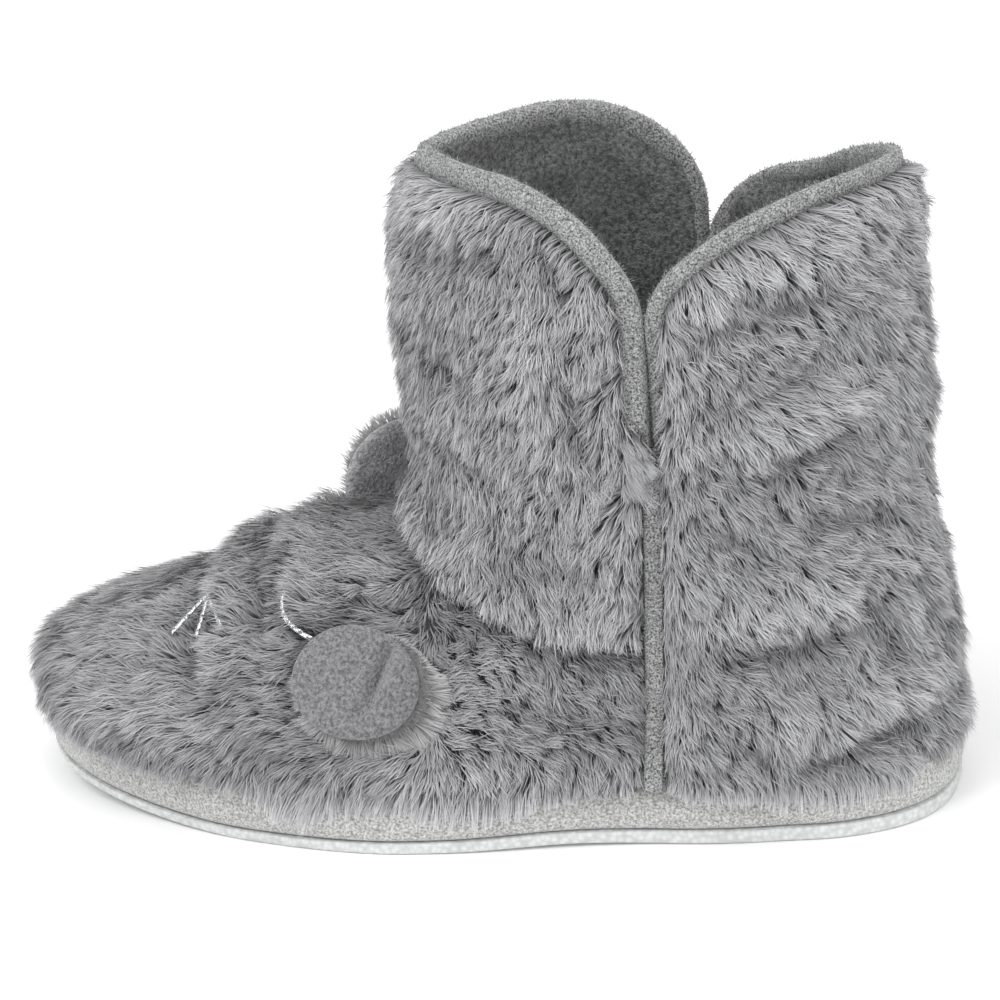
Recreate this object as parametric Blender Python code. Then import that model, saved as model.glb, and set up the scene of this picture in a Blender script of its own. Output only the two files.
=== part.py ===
"""A left bootie slipper in deep faux fur, standing empty on its platform sole.

The toe points to -X, the heel to +X, the outer side of the foot to -Y.  All sizes below
are millimetres and are turned to metres when a mesh is written.
"""
import math
from collections import namedtuple

import bmesh
import bpy
import numpy as np

MM = 0.001

# Driving sizes
FIT_GAP = 0.3
SOLE_HEIGHT = 17.0
TOE_SPRING = 8.5
SPRING_START_X = -60.0
TOE_X = -130.0
TOE_ROUNDING = 100.0
TOE_SWING = 7.0
THROAT_Z = 88.0
SEAM_HEM_Z = 60.0
BACK_HEM_Z = 90.0
SLIT_Z = 115.0
SLIT_SHOULDER_Z = 150.0
FRONT_TOP_Z = 188.5
BACK_TOP_Z = 184.0
LEAF_SAG = 8.0
LEAF_DROP = 11.5
LEAF_START = 0.05
LEAF_END = 0.62
LEAF_FOOT_Z = 122.0
LEAF_FULL_Z = 160.0
FILLET = 8.0
ARCH_RISE_POWER = 2.2
ARCH_WIDTH_POWER = 1.9

# Fur and wall, measured inwards from the outer form of the fur
PILE = 7.0
WALL = 2.5
GROUND_PILE = 0.82
LOCK_LIFT = 3.0
SHAFT_LOCK_LIFT = 2.3
LOCK_DROP = 2.6
HEM_DROP = 4.5
WAIST_HEM_DROP = 4.5
PRESSED = 0.72
LIP_DROP = 4.0
SEAM_FLARE = 3.4
SEAM_FLARE_HEIGHT = 14.0
RIM_PILE = 0.15
SHELF_LIFT = 1.6
LEAST_TIP = 1.2

HEM_TURN = 0.6

# How far the whole shoe is moved, so that its box is centred on the origin
CENTRE_SHIFT = (-2.25, 0.9, 0.0)

# Top line of the fur from the toe to the instep
Ridge = namedtuple("Ridge", "x z")
RIDGE = [
    Ridge(-130.0, 30.0), Ridge(-129.4, 35.5), Ridge(-127.8, 39.5), Ridge(-125.0, 43.0),
    Ridge(-121.0, 46.0), Ridge(-113.0, 50.0), Ridge(-105.0, 53.0), Ridge(-98.0, 56.0),
    Ridge(-83.0, 62.0), Ridge(-75.0, 65.3), Ridge(-68.0, 69.5), Ridge(-60.0, 74.0),
    Ridge(-53.0, 77.0), Ridge(-46.0, 79.0), Ridge(-38.0, 81.3), Ridge(-25.0, 84.3),
    Ridge(-10.0, 87.5), Ridge(10.0, 91.0), Ridge(64.0, 97.0),
]

# Greatest half widths of the foot, as if the toe were square
Side = namedtuple("Side", "x near far")
SIDES = [
    Side(-130.0, 54.0, 60.0), Side(-96.0, 54.2, 57.6), Side(-60.0, 54.8, 54.2),
    Side(-40.0, 55.3, 52.5), Side(-20.0, 56.0, 51.0), Side(0.0, 55.0, 48.5),
    Side(20.0, 52.5, 45.5), Side(40.0, 50.0, 43.5), Side(64.0, 47.5, 42.5),
]

# Level sections of heel and shaft: front, side seam and back along X, half widths at the
# seam, and how square the front and back curves are (2 is an ellipse, 1 a wedge)
Section = namedtuple("Section", "z front seam back near far front_round back_round")
SECTIONS = [
    Section(0.0, -17.5, 55.0, 133.5, 46.0, 42.0, 2.3, 2.3),
    Section(17.0, -17.5, 55.5, 134.8, 47.5, 43.0, 2.3, 2.3),
    Section(30.0, -17.5, 56.2, 134.3, 49.5, 45.5, 2.3, 2.25),
    Section(45.0, -17.5, 57.3, 133.5, 51.0, 48.0, 2.3, 2.2),
    Section(60.0, -17.5, 58.3, 132.0, 52.0, 50.0, 2.3, 2.15),
    Section(78.0, -17.5, 59.6, 128.6, 52.6, 51.5, 2.25, 2.05),
    Section(92.0, -17.2, 60.5, 128.8, 53.0, 52.5, 2.2, 2.0),
    Section(116.0, -17.2, 62.0, 129.4, 54.0, 54.0, 2.05, 1.9),
    Section(147.0, -17.0, 62.5, 129.8, 55.0, 55.0, 1.78, 1.75),
    Section(164.0, -16.8, 62.5, 130.6, 55.0, 54.5, 1.62, 1.68),
    Section(175.0, -14.0, 62.5, 130.2, 54.5, 54.0, 1.5, 1.62),
    Section(195.0, -6.0, 62.5, 128.0, 54.0, 53.0, 1.42, 1.6),
]

# How far the fur stands out past the sole, from the toe at 0 past the seam at 1 to the heel
Overhang = namedtuple("Overhang", "from_toe reach")
OVERHANGS = [
    Overhang(0.0, 2.5), Overhang(0.12, 5.0), Overhang(0.3, 7.6), Overhang(0.48, 5.4),
    Overhang(0.66, 2.8), Overhang(0.8, 3.4), Overhang(1.0, 6.4), Overhang(1.3, 6.8),
    Overhang(1.5, 4.4), Overhang(1.75, 2.6), Overhang(2.0, 3.4),
]

# A panel above the slit: its height, the share of its length over which the rim rounds
# down to the slit, its binding's width and thickness, and how deep the binding lies there
Panel = namedtuple("Panel", "top corner_share binding_width thickness tuck")
FRONT_PANEL = Panel(FRONT_TOP_Z, 0.55, 7.0, 4.6, 0.0)
BACK_PANEL = Panel(BACK_TOP_Z, 0.75, 5.5, 4.2, 1.6)

# Grid of the upper's outer surface
FRONT_COLUMNS = 24
BACK_COLUMNS = 12
FOOT_ROWS = 22
ANKLE_ROWS = 6
SHAFT_ROWS = 12

# Round ears
Ear = namedtuple("Ear", "x z radius fur_radius fur_x fur_z")
NEAR_EAR = Ear(-23.0, 49.3, 17.4, 21.5, 3.0, -2.0)
FAR_EAR = Ear(-26.2, 79.0, 17.6, 18.2, 2.6, 0.0)
FAR_EAR_Y = 27.0
FAR_EAR_TURN = math.radians(36.0)
FAR_EAR_SINK = 5.7
EAR_FOOT_ROUNDING = 4.0
EAR_FUR_THICKNESS = 3.6
EAR_FLEECE_THICKNESS = 3.4
EAR_RAGGED = 0.14
EAR_FLATTENING = 0.78
NEAR_EAR_LIFT = 0.3
FAR_EAR_NARROWING = 1.9
FAR_EAR_REACH = (55.0, 104.0)
FAR_AWAY = 99.0


def smooth_line(places, values):
    """A smooth line through table values that never swings past them."""
    places = np.array(places, float)
    values = np.array(values, float)
    steps = np.diff(places)
    slopes = np.diff(values) / steps
    bends = np.zeros(len(places))
    bends[0] = slopes[0]
    bends[-1] = slopes[-1]
    product = slopes[:-1] * slopes[1:]
    total = slopes[:-1] + slopes[1:]
    safe_total = np.where(product > 0, total, 1.0)
    bends[1:-1] = np.where(product > 0, 2 * product / safe_total, 0.0)

    def value_at(place):
        place = np.clip(np.asarray(place, float), places[0], places[-1])
        row = np.clip(np.searchsorted(places, place) - 1, 0, len(steps) - 1)
        part = (place - places[row]) / steps[row]
        rise = part * part * (3 - 2 * part)
        return (values[row] * (1 - rise) + values[row + 1] * rise
                + steps[row] * part * (1 - part)
                * (bends[row] * (1 - part) - bends[row + 1] * part))

    return value_at


def table_line(rows, across, name):
    return smooth_line([getattr(row, across) for row in rows], [getattr(row, name) for row in rows])


ridge_height = table_line(RIDGE, "x", "z")
side_width = {"near": table_line(SIDES, "x", "near"), "far": table_line(SIDES, "x", "far")}
overhang_reach = table_line(OVERHANGS, "from_toe", "reach")
section_line = {name: table_line(SECTIONS, "z", name) for name in Section._fields[1:]}


def smooth_step(start, end, value):
    part = np.clip((value - start) / (end - start), 0.0, 1.0)
    return part * part * (3 - 2 * part)


def toe_lift(x):
    """Height of the sole's lower face: flat under heel and ball, sprung at the toe."""
    share = np.clip((SPRING_START_X - x) / (SPRING_START_X - TOE_X), 0.0, 1.0)
    return TOE_SPRING * share ** 2


def toe_rounding(x):
    share = np.clip((x - TOE_X) / TOE_ROUNDING, 0.0, 1.0)
    return np.sqrt(np.clip(1 - (1 - share) ** 2, 0.0, 1.0))


def vamp_half_width(x, z, side):
    """Half width of the foot's arched section at a station and a height."""
    base = SOLE_HEIGHT + toe_lift(x)
    rise = np.clip((z - base) / (ridge_height(x) - base), 0.0, 1.0)
    arch = (1 - rise ** ARCH_RISE_POWER) ** (1 / ARCH_WIDTH_POWER)
    return side_width[side](x) * toe_rounding(x) * arch


def shaft_half_width(x, z, side):
    """Half width of the shaft in front of the side seam, below zero ahead of it."""
    front = section_line["front"](z)
    seam = section_line["seam"](z)
    power = section_line["front_round"](z)
    share = np.clip((seam - x) / (seam - front), 0.0, 1.0)
    width = section_line[side](z) * (1 - share ** power) ** (1 / power)
    return np.where(x > front, width, -20.0)


def blended(first, second):
    """The larger of two widths, with a soft fillet where they cross."""
    near = np.clip(FILLET - np.abs(first - second), 0.0, None) / FILLET
    return np.maximum(first, second) + near * near * FILLET / 4


def foot_width(x, z, side):
    """Half width of the outer form ahead of the side seam."""
    return blended(vamp_half_width(x, z, side), shaft_half_width(x, z, side))


def section_front(z):
    """The foremost point of a level section."""
    stations = np.linspace(RIDGE[0].x, RIDGE[-1].x, 800)
    tip = np.interp(z, ridge_height(stations), stations)
    return min(tip, float(section_line["front"](z)))


def quarter(z, part, side, count=160):
    """One quarter of a level section, from its midline end to the side seam."""
    share = np.linspace(0.0, 1.0, count) ** 2
    seam = float(section_line["seam"](z))
    if part == "front":
        tip = section_front(z)
        x = tip + (seam - tip) * share
        y = foot_width(x, z, side)
        y[0] = 0.0
    else:
        back = float(section_line["back"](z))
        power = float(section_line["back_round"](z))
        x = back + (seam - back) * share
        width = foot_width(np.array([seam]), z, side)[0]
        y = width * (1 - np.clip((x - seam) / (back - seam), 0.0, 1.0) ** power) ** (1 / power)
    swing = TOE_SWING * (1 - toe_rounding(x))
    y = swing - y if side == "near" else swing + y
    if part == "back" and side == "far":
        slack = smooth_step(SLIT_SHOULDER_Z - 20.0, BACK_TOP_Z, z)
        y = y - LEAF_SAG * slack * np.sin(math.pi * np.sqrt(share)) ** 2
    length = np.concatenate([[0.0], np.cumsum(np.hypot(np.diff(x), np.diff(y)))])
    return x, y, length


FINE_COLUMNS = 150
FORM_LOW_Z = 4.0
FORM_HIGH_Z = 192.0
FORM_HEIGHTS = np.linspace(FORM_LOW_Z, FORM_HIGH_Z, 189)


def build_form():
    """Sample the outer form: heights down, places round the shoe across.

    A place round the shoe runs 0 at the toe, 1 at the near seam, 2 at the heel, 3 at the
    far seam and 4 at the toe again.
    """
    shares = np.linspace(0.0, 1.0, FINE_COLUMNS + 1)
    rows = []
    seam_lengths = []
    for z in FORM_HEIGHTS:
        ring = []
        lengths = []
        for part, side, turned in (("front", "near", False), ("back", "near", True),
                                   ("back", "far", False), ("front", "far", True)):
            x, y, length = quarter(z, part, side)
            wanted = shares * length[-1]
            points = np.stack([np.interp(wanted, length, x), np.interp(wanted, length, y)], 1)
            if turned:
                points = points[::-1]
            ring.append(points[:-1])
            lengths.append(length[-1])
        rows.append(np.concatenate(ring + [ring[0][:1]]))
        seam_lengths.append(lengths)
    return np.array(rows), np.array(seam_lengths)


FORM, QUARTER_LENGTHS = build_form()


def form_point(place, z):
    """The outer form at places round the shoe and heights."""
    place = np.asarray(place, float) % 4.0
    z = np.asarray(z, float)
    row = (z - FORM_LOW_Z) / (FORM_HEIGHTS[1] - FORM_HEIGHTS[0])
    row = np.clip(row, 0, len(FORM_HEIGHTS) - 1.001)
    low = row.astype(int)
    up = (row - low)[..., None]
    column = place * FINE_COLUMNS
    left = np.clip(column.astype(int), 0, 4 * FINE_COLUMNS - 1)
    across = (column - left)[..., None]
    lower = FORM[low, left] * (1 - across) + FORM[low, left + 1] * across
    upper = FORM[low + 1, left] * (1 - across) + FORM[low + 1, left + 1] * across
    plan = lower * (1 - up) + upper * up
    return np.concatenate([plan, z[..., None] + 0 * plan[..., :1]], -1)


def form_normal(place, z, reach=0.02, lift=2.0):
    """Outward normals of the outer form."""
    along = form_point(place + reach, z) - form_point(place - reach, z)
    upward = form_point(place, z + lift) - form_point(place, np.maximum(z - lift, FORM_LOW_Z))
    normal = np.cross(along, upward)
    return normal / np.linalg.norm(normal, axis=-1, keepdims=True)


def quarter_length(place, z):
    """Length round the shoe of the quarter that holds a place."""
    which = np.clip(np.asarray(place, float) % 4.0, 0, 3.999).astype(int)
    lengths = np.stack([np.interp(z, FORM_HEIGHTS, QUARTER_LENGTHS[:, k]) for k in range(4)])
    return np.take_along_axis(lengths, which[None], 0)[0]


def sole_top_z(place):
    """Height of the platform's top under a place round the shoe."""
    z = np.full(np.shape(place), SOLE_HEIGHT)
    for _ in range(3):
        z = SOLE_HEIGHT + toe_lift(form_point(place, z)[..., 0])
    return z


def fur_overhang(place):
    """How far the fur stands out past the sole at a place round the shoe."""
    place = np.asarray(place, float)
    return overhang_reach(np.minimum(place, 4.0 - place))


def sole_ring(place, outset=0.0):
    """The sole's outline, found from the upper above it, with an outset."""
    z = sole_top_z(place)
    normal = form_normal(place, z + 3.0)
    normal[..., 2] = 0.0
    normal = normal / np.linalg.norm(normal, axis=-1, keepdims=True)
    return form_point(place, z) - normal * (fur_overhang(place) - outset)[..., None]


def column_places():
    """Places round the shoe of the upper's grid columns, closer near the side seams."""
    front = np.linspace(0.0, 1.0, FRONT_COLUMNS + 1)
    front = 0.62 * front + 0.38 * np.sin(front * math.pi / 2)
    back = np.linspace(0.0, 1.0, BACK_COLUMNS + 1)
    back = 0.7 * back + 0.3 * (1 - np.cos(back * math.pi / 2))
    near = np.concatenate([front, 1.0 + back[1:]])
    far = 4.0 - near[::-1]
    return np.concatenate([near, far[1:-1]])


PLACES = column_places()
COLUMN_COUNT = len(PLACES)
NEAR_SEAM = FRONT_COLUMNS
FAR_SEAM = COLUMN_COUNT - FRONT_COLUMNS


def hem_line_z(place):
    """Lower edge of the shaft's front panel, and its level line round the back."""
    from_toe = np.minimum(place, 4.0 - place)
    front = THROAT_Z - (THROAT_Z - SEAM_HEM_Z) * smooth_step(0.12, 0.95, from_toe)
    back = SEAM_HEM_Z + (BACK_HEM_Z - SEAM_HEM_Z) * smooth_step(1.0, 2.0, from_toe)
    return np.where(from_toe < 1.0, front, back)


def even_heights(place, low, high, count):
    """Heights that split one column of the form into equal lengths."""
    trial = np.linspace(low, high, 80)
    points = form_point(np.full(80, place), trial)
    length = np.concatenate([[0.0], np.cumsum(np.linalg.norm(np.diff(points, axis=0), axis=1))])
    return np.interp(np.linspace(0.0, length[-1], count), length, trial)


def leaf_drop(place, z):
    """How much lower the slack far half of the back panel stands, none at the slit's foot."""
    along = smooth_step(LEAF_START, LEAF_END, place - 2.0)
    return LEAF_DROP * along * smooth_step(LEAF_FOOT_Z, LEAF_FULL_Z, z)


def rim_height(panel, from_slit, inset, length, place):
    """Height of a panel's rim, seen at a distance from the slit and moved in by inset."""
    corner = panel.corner_share * length
    rise = panel.top - SLIT_SHOULDER_Z
    share = np.clip((corner - from_slit) / (corner - inset), 0.0, 1.0)
    height = SLIT_SHOULDER_Z + (rise - inset) * np.sqrt(np.clip(1 - share ** 2, 0.0, 1.0))
    return height - (leaf_drop(place, height) if panel is BACK_PANEL else 0.0)


def binding_seat(panel):
    """Distance from the slit line to the wall's cut edge under the binding."""
    return panel.binding_width + 4 * FIT_GAP


def shaft_place(place, panel, seat):
    """Move a column's place back from the slit, so that the wall leaves room for binding."""
    length = float(quarter_length(np.array([place]), np.array([SLIT_SHOULDER_Z]))[0])
    seam = 1.0 if place < 2.0 else 3.0
    away = abs(place - seam) * length
    return seam + math.copysign(1.0, place - seam) * (seat + away * (1 - seat / length)) / length


# A step round the shoe that is too small to see, which says on which side of a slit a point is
SLIT_SIDE = 1e-6
NOTCH = 2.2


def upper_grid():
    """Places and heights of the upper's rows, as closed rings and as the two panels."""
    low = sole_top_z(PLACES) + FIT_GAP
    middle = hem_line_z(PLACES)
    ring_z = np.zeros((FOOT_ROWS + ANKLE_ROWS, COLUMN_COUNT))
    for column, place in enumerate(PLACES):
        ring_z[:FOOT_ROWS, column] = even_heights(place, low[column], middle[column], FOOT_ROWS)
        climb = np.linspace(middle[column], SLIT_Z, ANKLE_ROWS + 1)[1:]
        ring_z[FOOT_ROWS:, column] = climb
    ring_place = np.tile(PLACES, (len(ring_z), 1))
    panels = []
    front = list(range(FAR_SEAM, COLUMN_COUNT)) + list(range(0, NEAR_SEAM + 1))
    back = list(range(NEAR_SEAM, FAR_SEAM + 1))
    for panel, columns in ((FRONT_PANEL, front), (BACK_PANEL, back)):
        seat = binding_seat(panel)
        place = np.zeros((SHAFT_ROWS, len(columns)))
        z = np.zeros((SHAFT_ROWS, len(columns)))
        for spot, column in enumerate(columns):
            own = PLACES[column]
            own = own + SLIT_SIDE if (panel is BACK_PANEL) == (own < 2.0) else own - SLIT_SIDE
            moved = shaft_place(own, panel, seat)
            length = float(quarter_length(np.array([moved]), np.array([SLIT_SHOULDER_Z]))[0])
            from_slit = abs(moved - (1.0 if moved < 2.0 else 3.0)) * length
            top = float(rim_height(panel, from_slit, seat, length, moved))
            place[:, spot] = moved
            z[0, spot] = SLIT_Z + NOTCH / 2
            z[1:, spot] = np.linspace(SLIT_Z + NOTCH, top, SHAFT_ROWS - 1)
        panels.append((columns, place, z))
    return ring_place, ring_z, panels


def hem_drop(place):
    """How far the fur hangs over the sole's edge: least at the toe, most at the waist."""
    from_toe = np.minimum(place, 4.0 - place)
    waist = smooth_step(0.42, 0.6, from_toe) * (1 - smooth_step(1.0, 1.4, from_toe))
    return HEM_DROP + WAIST_HEM_DROP * waist + 1.0 * smooth_step(1.0, 1.4, from_toe)


def flicker(row, column):
    """An even spread of numbers from 0 to 1, the same at each run."""
    value = np.sin(row * 12.9898 + column * 78.233) * 43758.5453
    return value - np.floor(value)


def pressed_share(points):
    """1 where an ear lies on the fur or is sewn to it, 0 away from the ears."""
    near = np.hypot(points[..., 0] - NEAR_EAR.x - NEAR_EAR.fur_x,
                    (points[..., 2] - NEAR_EAR.z - NEAR_EAR.fur_z) / EAR_FLATTENING)
    near = np.where(points[..., 1] < 0, near, FAR_AWAY)
    along_x, along_y = points[..., 0] - FAR_EAR.x, points[..., 1] - FAR_EAR_Y
    turned_x = along_x * math.cos(FAR_EAR_TURN) + along_y * math.sin(FAR_EAR_TURN)
    turned_y = along_y * math.cos(FAR_EAR_TURN) - along_x * math.sin(FAR_EAR_TURN)
    far = np.hypot(turned_x, (turned_y + EAR_FUR_THICKNESS) * FAR_EAR_NARROWING)
    low, high = FAR_EAR_REACH
    far = np.where((points[..., 2] > low) & (points[..., 2] < high), far, FAR_AWAY)
    flat_near = 1 - smooth_step(NEAR_EAR.fur_radius + 3.0, NEAR_EAR.fur_radius + 9.0, near)
    flat_far = 1 - smooth_step(FAR_EAR.fur_radius + 2.0, FAR_EAR.fur_radius + 8.0, far)
    return np.maximum(flat_near, flat_far)


def seam_floor(place, z):
    """Share of the pile that stays under a side tape, so that it meets the sole's edge."""
    above = z - sole_top_z(place)
    return SEAM_FLARE / PILE * (1 - smooth_step(0.0, SEAM_FLARE_HEIGHT, above))


def seam_share(columns):
    """0 on the columns under a side tape, rising to 1 in the open fur."""
    from_seam = np.minimum(np.abs(columns - NEAR_SEAM), np.abs(columns - FAR_SEAM))
    return np.clip((from_seam - 1.0) / 1.6, 0.0, 1.0)


def fur_surface(place, z, pile, lift, drop):
    """The outer surface: the form, less the missing pile, with tufts lifted and combed down."""
    normal = form_normal(place, z)
    fall = np.zeros_like(normal)
    fall[..., 2] = -1.0
    fall = fall - normal * np.sum(fall * normal, -1, keepdims=True)
    point = form_point(place, z)
    inward = PILE * (1 - pile) - lift
    return point - normal * inward[..., None] + fall * drop[..., None]


def tuft_pattern(rows, columns):
    """Lifted tufts in brick order, each two columns wide and two rows long."""
    row, column = np.meshgrid(np.arange(rows), columns, indexing="ij")
    tip_row = row % 2 == 1
    tip_column = (column + (row // 2)) % 2 == 0
    size = 0.55 + 0.75 * flicker(row, column)
    return np.where(tip_row & tip_column, size, 0.0)


def outer_rows():
    """Outer surface points of the ring rows and of both panels."""
    ring_place, ring_z, panels = upper_grid()
    tufts = tuft_pattern(len(ring_z), np.arange(COLUMN_COUNT))
    open_fur = np.tile(seam_share(np.arange(COLUMN_COUNT)), (len(ring_z), 1))
    points = form_point(ring_place, ring_z)
    pressed = pressed_share(points)
    pile = open_fur * GROUND_PILE * (1 - PRESSED * pressed)
    valley = np.zeros_like(pile)
    front = np.minimum(ring_place, 4.0 - ring_place) < 1.0
    valley[FOOT_ROWS - 2] = 0.25
    valley[FOOT_ROWS - 1] = 0.55
    pile = np.where(front, pile * (1 - valley), pile)
    pile = np.maximum(pile, seam_floor(ring_place, ring_z))
    lift = LOCK_LIFT * tufts * open_fur * (1 - pressed)
    drop = LOCK_DROP * tufts * open_fur * (1 - pressed)
    shelf = np.zeros_like(lift)
    shelf[FOOT_ROWS] = 1.0
    shelf = np.where(front, shelf * open_fur * (1 - pressed), 0.0)
    lift = lift + SHELF_LIFT * shelf
    drop = np.where(shelf > 0, LIP_DROP * shelf, drop)
    calm = np.zeros_like(lift)
    calm[FOOT_ROWS - 2:FOOT_ROWS] = 1.0
    lift = np.where(front & (calm > 0), 0.0, lift)
    drop = np.where(front & (calm > 0), 0.0, drop)
    rings = fur_surface(ring_place, ring_z, pile, lift, drop)
    sheets = []
    for columns, place, z in panels:
        panel = FRONT_PANEL if columns[0] == FAR_SEAM else BACK_PANEL
        tufts = tuft_pattern(SHAFT_ROWS, np.array(columns))
        edge = np.abs(np.minimum(place, 4.0 - place) - 1.0) * quarter_length(place, z)
        open_side = smooth_step(binding_seat(panel) - 1.0, binding_seat(panel) + 8.0, edge)
        below = z[-1] - z
        open_top = smooth_step(-1.0, 7.0, below)
        open_fur = np.minimum(open_side, open_top)
        pile = RIM_PILE + (GROUND_PILE - RIM_PILE) * open_fur
        points = form_point(place, z)
        pressed = pressed_share(points)
        pile = pile * (1 - PRESSED * pressed)
        tufts[:2] = 0.0
        tufts[-1] = 0.0
        lift = SHAFT_LOCK_LIFT * tufts * open_fur * (1 - pressed)
        drop = LOCK_DROP * tufts * open_fur * (1 - pressed)
        sheets.append((columns, fur_surface(place, z, pile, lift, drop)))
    return rings, sheets, (ring_place, ring_z, panels)


def add_grid(bm, grid, closed):
    """Faces over a grid of vertices; rows go up, columns go round."""
    columns = len(grid[0])
    last = columns if closed else columns - 1
    for low, high in zip(grid[:-1], grid[1:]):
        for column in range(last):
            after = (column + 1) % columns
            corners = [low[column], low[after], high[after], high[column]]
            corners = [vert for spot, vert in enumerate(corners) if vert not in corners[:spot]]
            if len(corners) > 2:
                bm.faces.new(corners)


def new_verts(bm, points):
    return [bm.verts.new(point) for point in np.asarray(points) * MM]


def rim_loop(ring, front_sheet, back_sheet, step):
    """Vertices along the open edge: up one side of each panel, over it and down."""
    near_front = [row[-1] for row in front_sheet]
    far_front = [row[0] for row in front_sheet]
    near_back = [row[0] for row in back_sheet]
    far_back = [row[-1] for row in back_sheet]
    loop = [ring[FAR_SEAM // step]] + far_front[1:]
    loop += front_sheet[-1][1:-1] + near_front[::-1][:-1]
    loop += [ring[NEAR_SEAM // step]] + near_back[1:]
    loop += back_sheet[-1][1:-1] + far_back[::-1][:-1]
    return loop


def stitch(bm, fine, coarse):
    """Join a fine closed loop to one with half as many vertices."""
    count = len(coarse)
    for spot in range(count):
        after = (spot + 1) % count
        first = fine[2 * spot]
        middle = fine[2 * spot + 1]
        last = fine[(2 * spot + 2) % len(fine)]
        bm.faces.new((first, middle, coarse[spot]))
        bm.faces.new((middle, coarse[after], coarse[spot]))
        bm.faces.new((middle, last, coarse[after]))


def panel_verts(bm, ring_row, columns, points, step):
    """A panel's vertices, its lowest row being part of the last closed ring."""
    base = [ring_row[(column // step) % len(ring_row)] for column in columns]
    return [base] + [new_verts(bm, row) for row in points]


def make_upper():
    """Vamp, quarters and shaft as one hollow wall with tufts of fur."""
    bm = bmesh.new()
    rings, sheets, (ring_place, ring_z, panels) = outer_rows()

    # Fur hanging past the sole's edge, below the lowest ring
    ragged = hem_drop(PLACES) * (0.55 + 0.75 * flicker(3, np.arange(COLUMN_COUNT)))
    ragged = np.maximum(ragged * seam_share(np.arange(COLUMN_COUNT)), LEAST_TIP)
    tips = rings[0].copy()
    tips[:, 2] -= ragged
    under = sole_ring(PLACES, HEM_TURN)
    under[:, 2] = ring_z[0] - ragged * HEM_TURN
    corner = sole_ring(PLACES, HEM_TURN)
    corner[:, 2] = ring_z[0]
    outer = [new_verts(bm, corner), new_verts(bm, under), new_verts(bm, tips)]
    outer += [new_verts(bm, row) for row in rings]
    add_grid(bm, outer, True)
    outer_sheets = []
    for columns, points in sheets:
        sheet = panel_verts(bm, outer[-1], columns, points, 1)
        add_grid(bm, sheet, False)
        outer_sheets.append(sheet)

    # Lining face, at half the grid's resolution
    def lining(place, z):
        return form_point(place, z) - form_normal(place, z) * (PILE + WALL)

    rows = list(range(0, FOOT_ROWS - 2, 3)) + [FOOT_ROWS - 2]
    rows += list(range(FOOT_ROWS - 1, len(ring_z), 3))
    inner = [new_verts(bm, lining(ring_place[row, ::2], ring_z[row, ::2])) for row in rows]
    add_grid(bm, inner, True)
    inner_sheets = []
    for columns, place, z in panels:
        points = lining(place[1::2, ::2], z[1::2, ::2])
        sheet = panel_verts(bm, inner[-1], columns[::2], points, 2)
        add_grid(bm, sheet, False)
        inner_sheets.append(sheet)
    stitch(bm, outer[0], inner[0])
    stitch(bm, rim_loop(outer[-1], *outer_sheets, 1), rim_loop(inner[-1], *inner_sheets, 2))
    return bm


def ring_pile(bm, rings, start, end):
    """A closed skin through rings of points, with a fan at each end."""
    grid = [new_verts(bm, ring) for ring in rings]
    add_grid(bm, grid, True)
    for ring, centre, turned in ((grid[0], start, False), (grid[-1], end, True)):
        hub = bm.verts.new(np.asarray(centre) * MM)
        for column in range(len(ring)):
            pair = [ring[column], ring[(column + 1) % len(ring)]]
            bm.faces.new([hub] + (pair if turned else pair[::-1]))


SOLE_PLACES = np.concatenate([
    np.linspace(0.0, 1.0, 11), 1.0 + np.linspace(0.0, 1.0, 11)[1:],
    2.0 + np.linspace(0.0, 1.0, 11)[1:], 3.0 + np.linspace(0.0, 1.0, 11)[1:-1]])
SOLE_CENTRE = np.array([0.0, 0.0])
INNER_SHARES = (0.38, 0.72)
ARCH_HOLLOW = 0.9
ARCH_X = 30.0
ARCH_LENGTH = 22.0
TOE_OUTSOLE = 2.4
HEEL_OUTSOLE = 4.4
HEEL_X = 128.0


def level(ring, height):
    """Lay a ring at a height above the sprung ground line."""
    laid = np.array(ring, float)
    laid[:, 2] = height(laid[:, 0])
    return laid


def plate(outline_rings, lower, upper):
    """Rings of a plate: its lower face, its edge and its upper face."""
    first, last = outline_rings[0], outline_rings[-1]
    low_face = []
    high_face = []
    for share in INNER_SHARES:
        for ring, face, height in ((first, low_face, lower), (last, high_face, upper)):
            shrunk = ring.copy()
            shrunk[:, :2] = SOLE_CENTRE + (ring[:, :2] - SOLE_CENTRE) * share
            face.append(level(shrunk, height))
    rings = low_face + list(outline_rings) + high_face[::-1]
    low_hub = (*SOLE_CENTRE, float(lower(SOLE_CENTRE[0])))
    high_hub = (*SOLE_CENTRE, float(upper(SOLE_CENTRE[0])))
    return rings, low_hub, high_hub


def ground_z(x):
    """Lower face of the outsole: the toe's spring, and a slight hollow at the arch."""
    hollow = ARCH_HOLLOW * np.exp(-((x - ARCH_X) / ARCH_LENGTH) ** 2)
    return toe_lift(x) + hollow


def outsole_thickness(x):
    share = np.clip((x + HEEL_X) / (2 * HEEL_X), 0.0, 1.0)
    return TOE_OUTSOLE + (HEEL_OUTSOLE - TOE_OUTSOLE) * share


def outsole_top(x):
    return ground_z(x) + outsole_thickness(x)


def platform_bottom(x):
    return outsole_top(x) + FIT_GAP


def platform_top(x):
    return SOLE_HEIGHT + toe_lift(x)


def edge_ring(inset, height):
    return level(sole_ring(SOLE_PLACES, -inset), height)


def make_outsole():
    """The white foam plate under the platform, with a rounded lower edge."""
    bm = bmesh.new()

    def rounded(x):
        return ground_z(x) + 0.9

    edges = [edge_ring(1.8, ground_z), edge_ring(1.0, rounded), edge_ring(0.8, outsole_top)]
    ring_pile(bm, *plate(edges, ground_z, outsole_top))
    return bm


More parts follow.
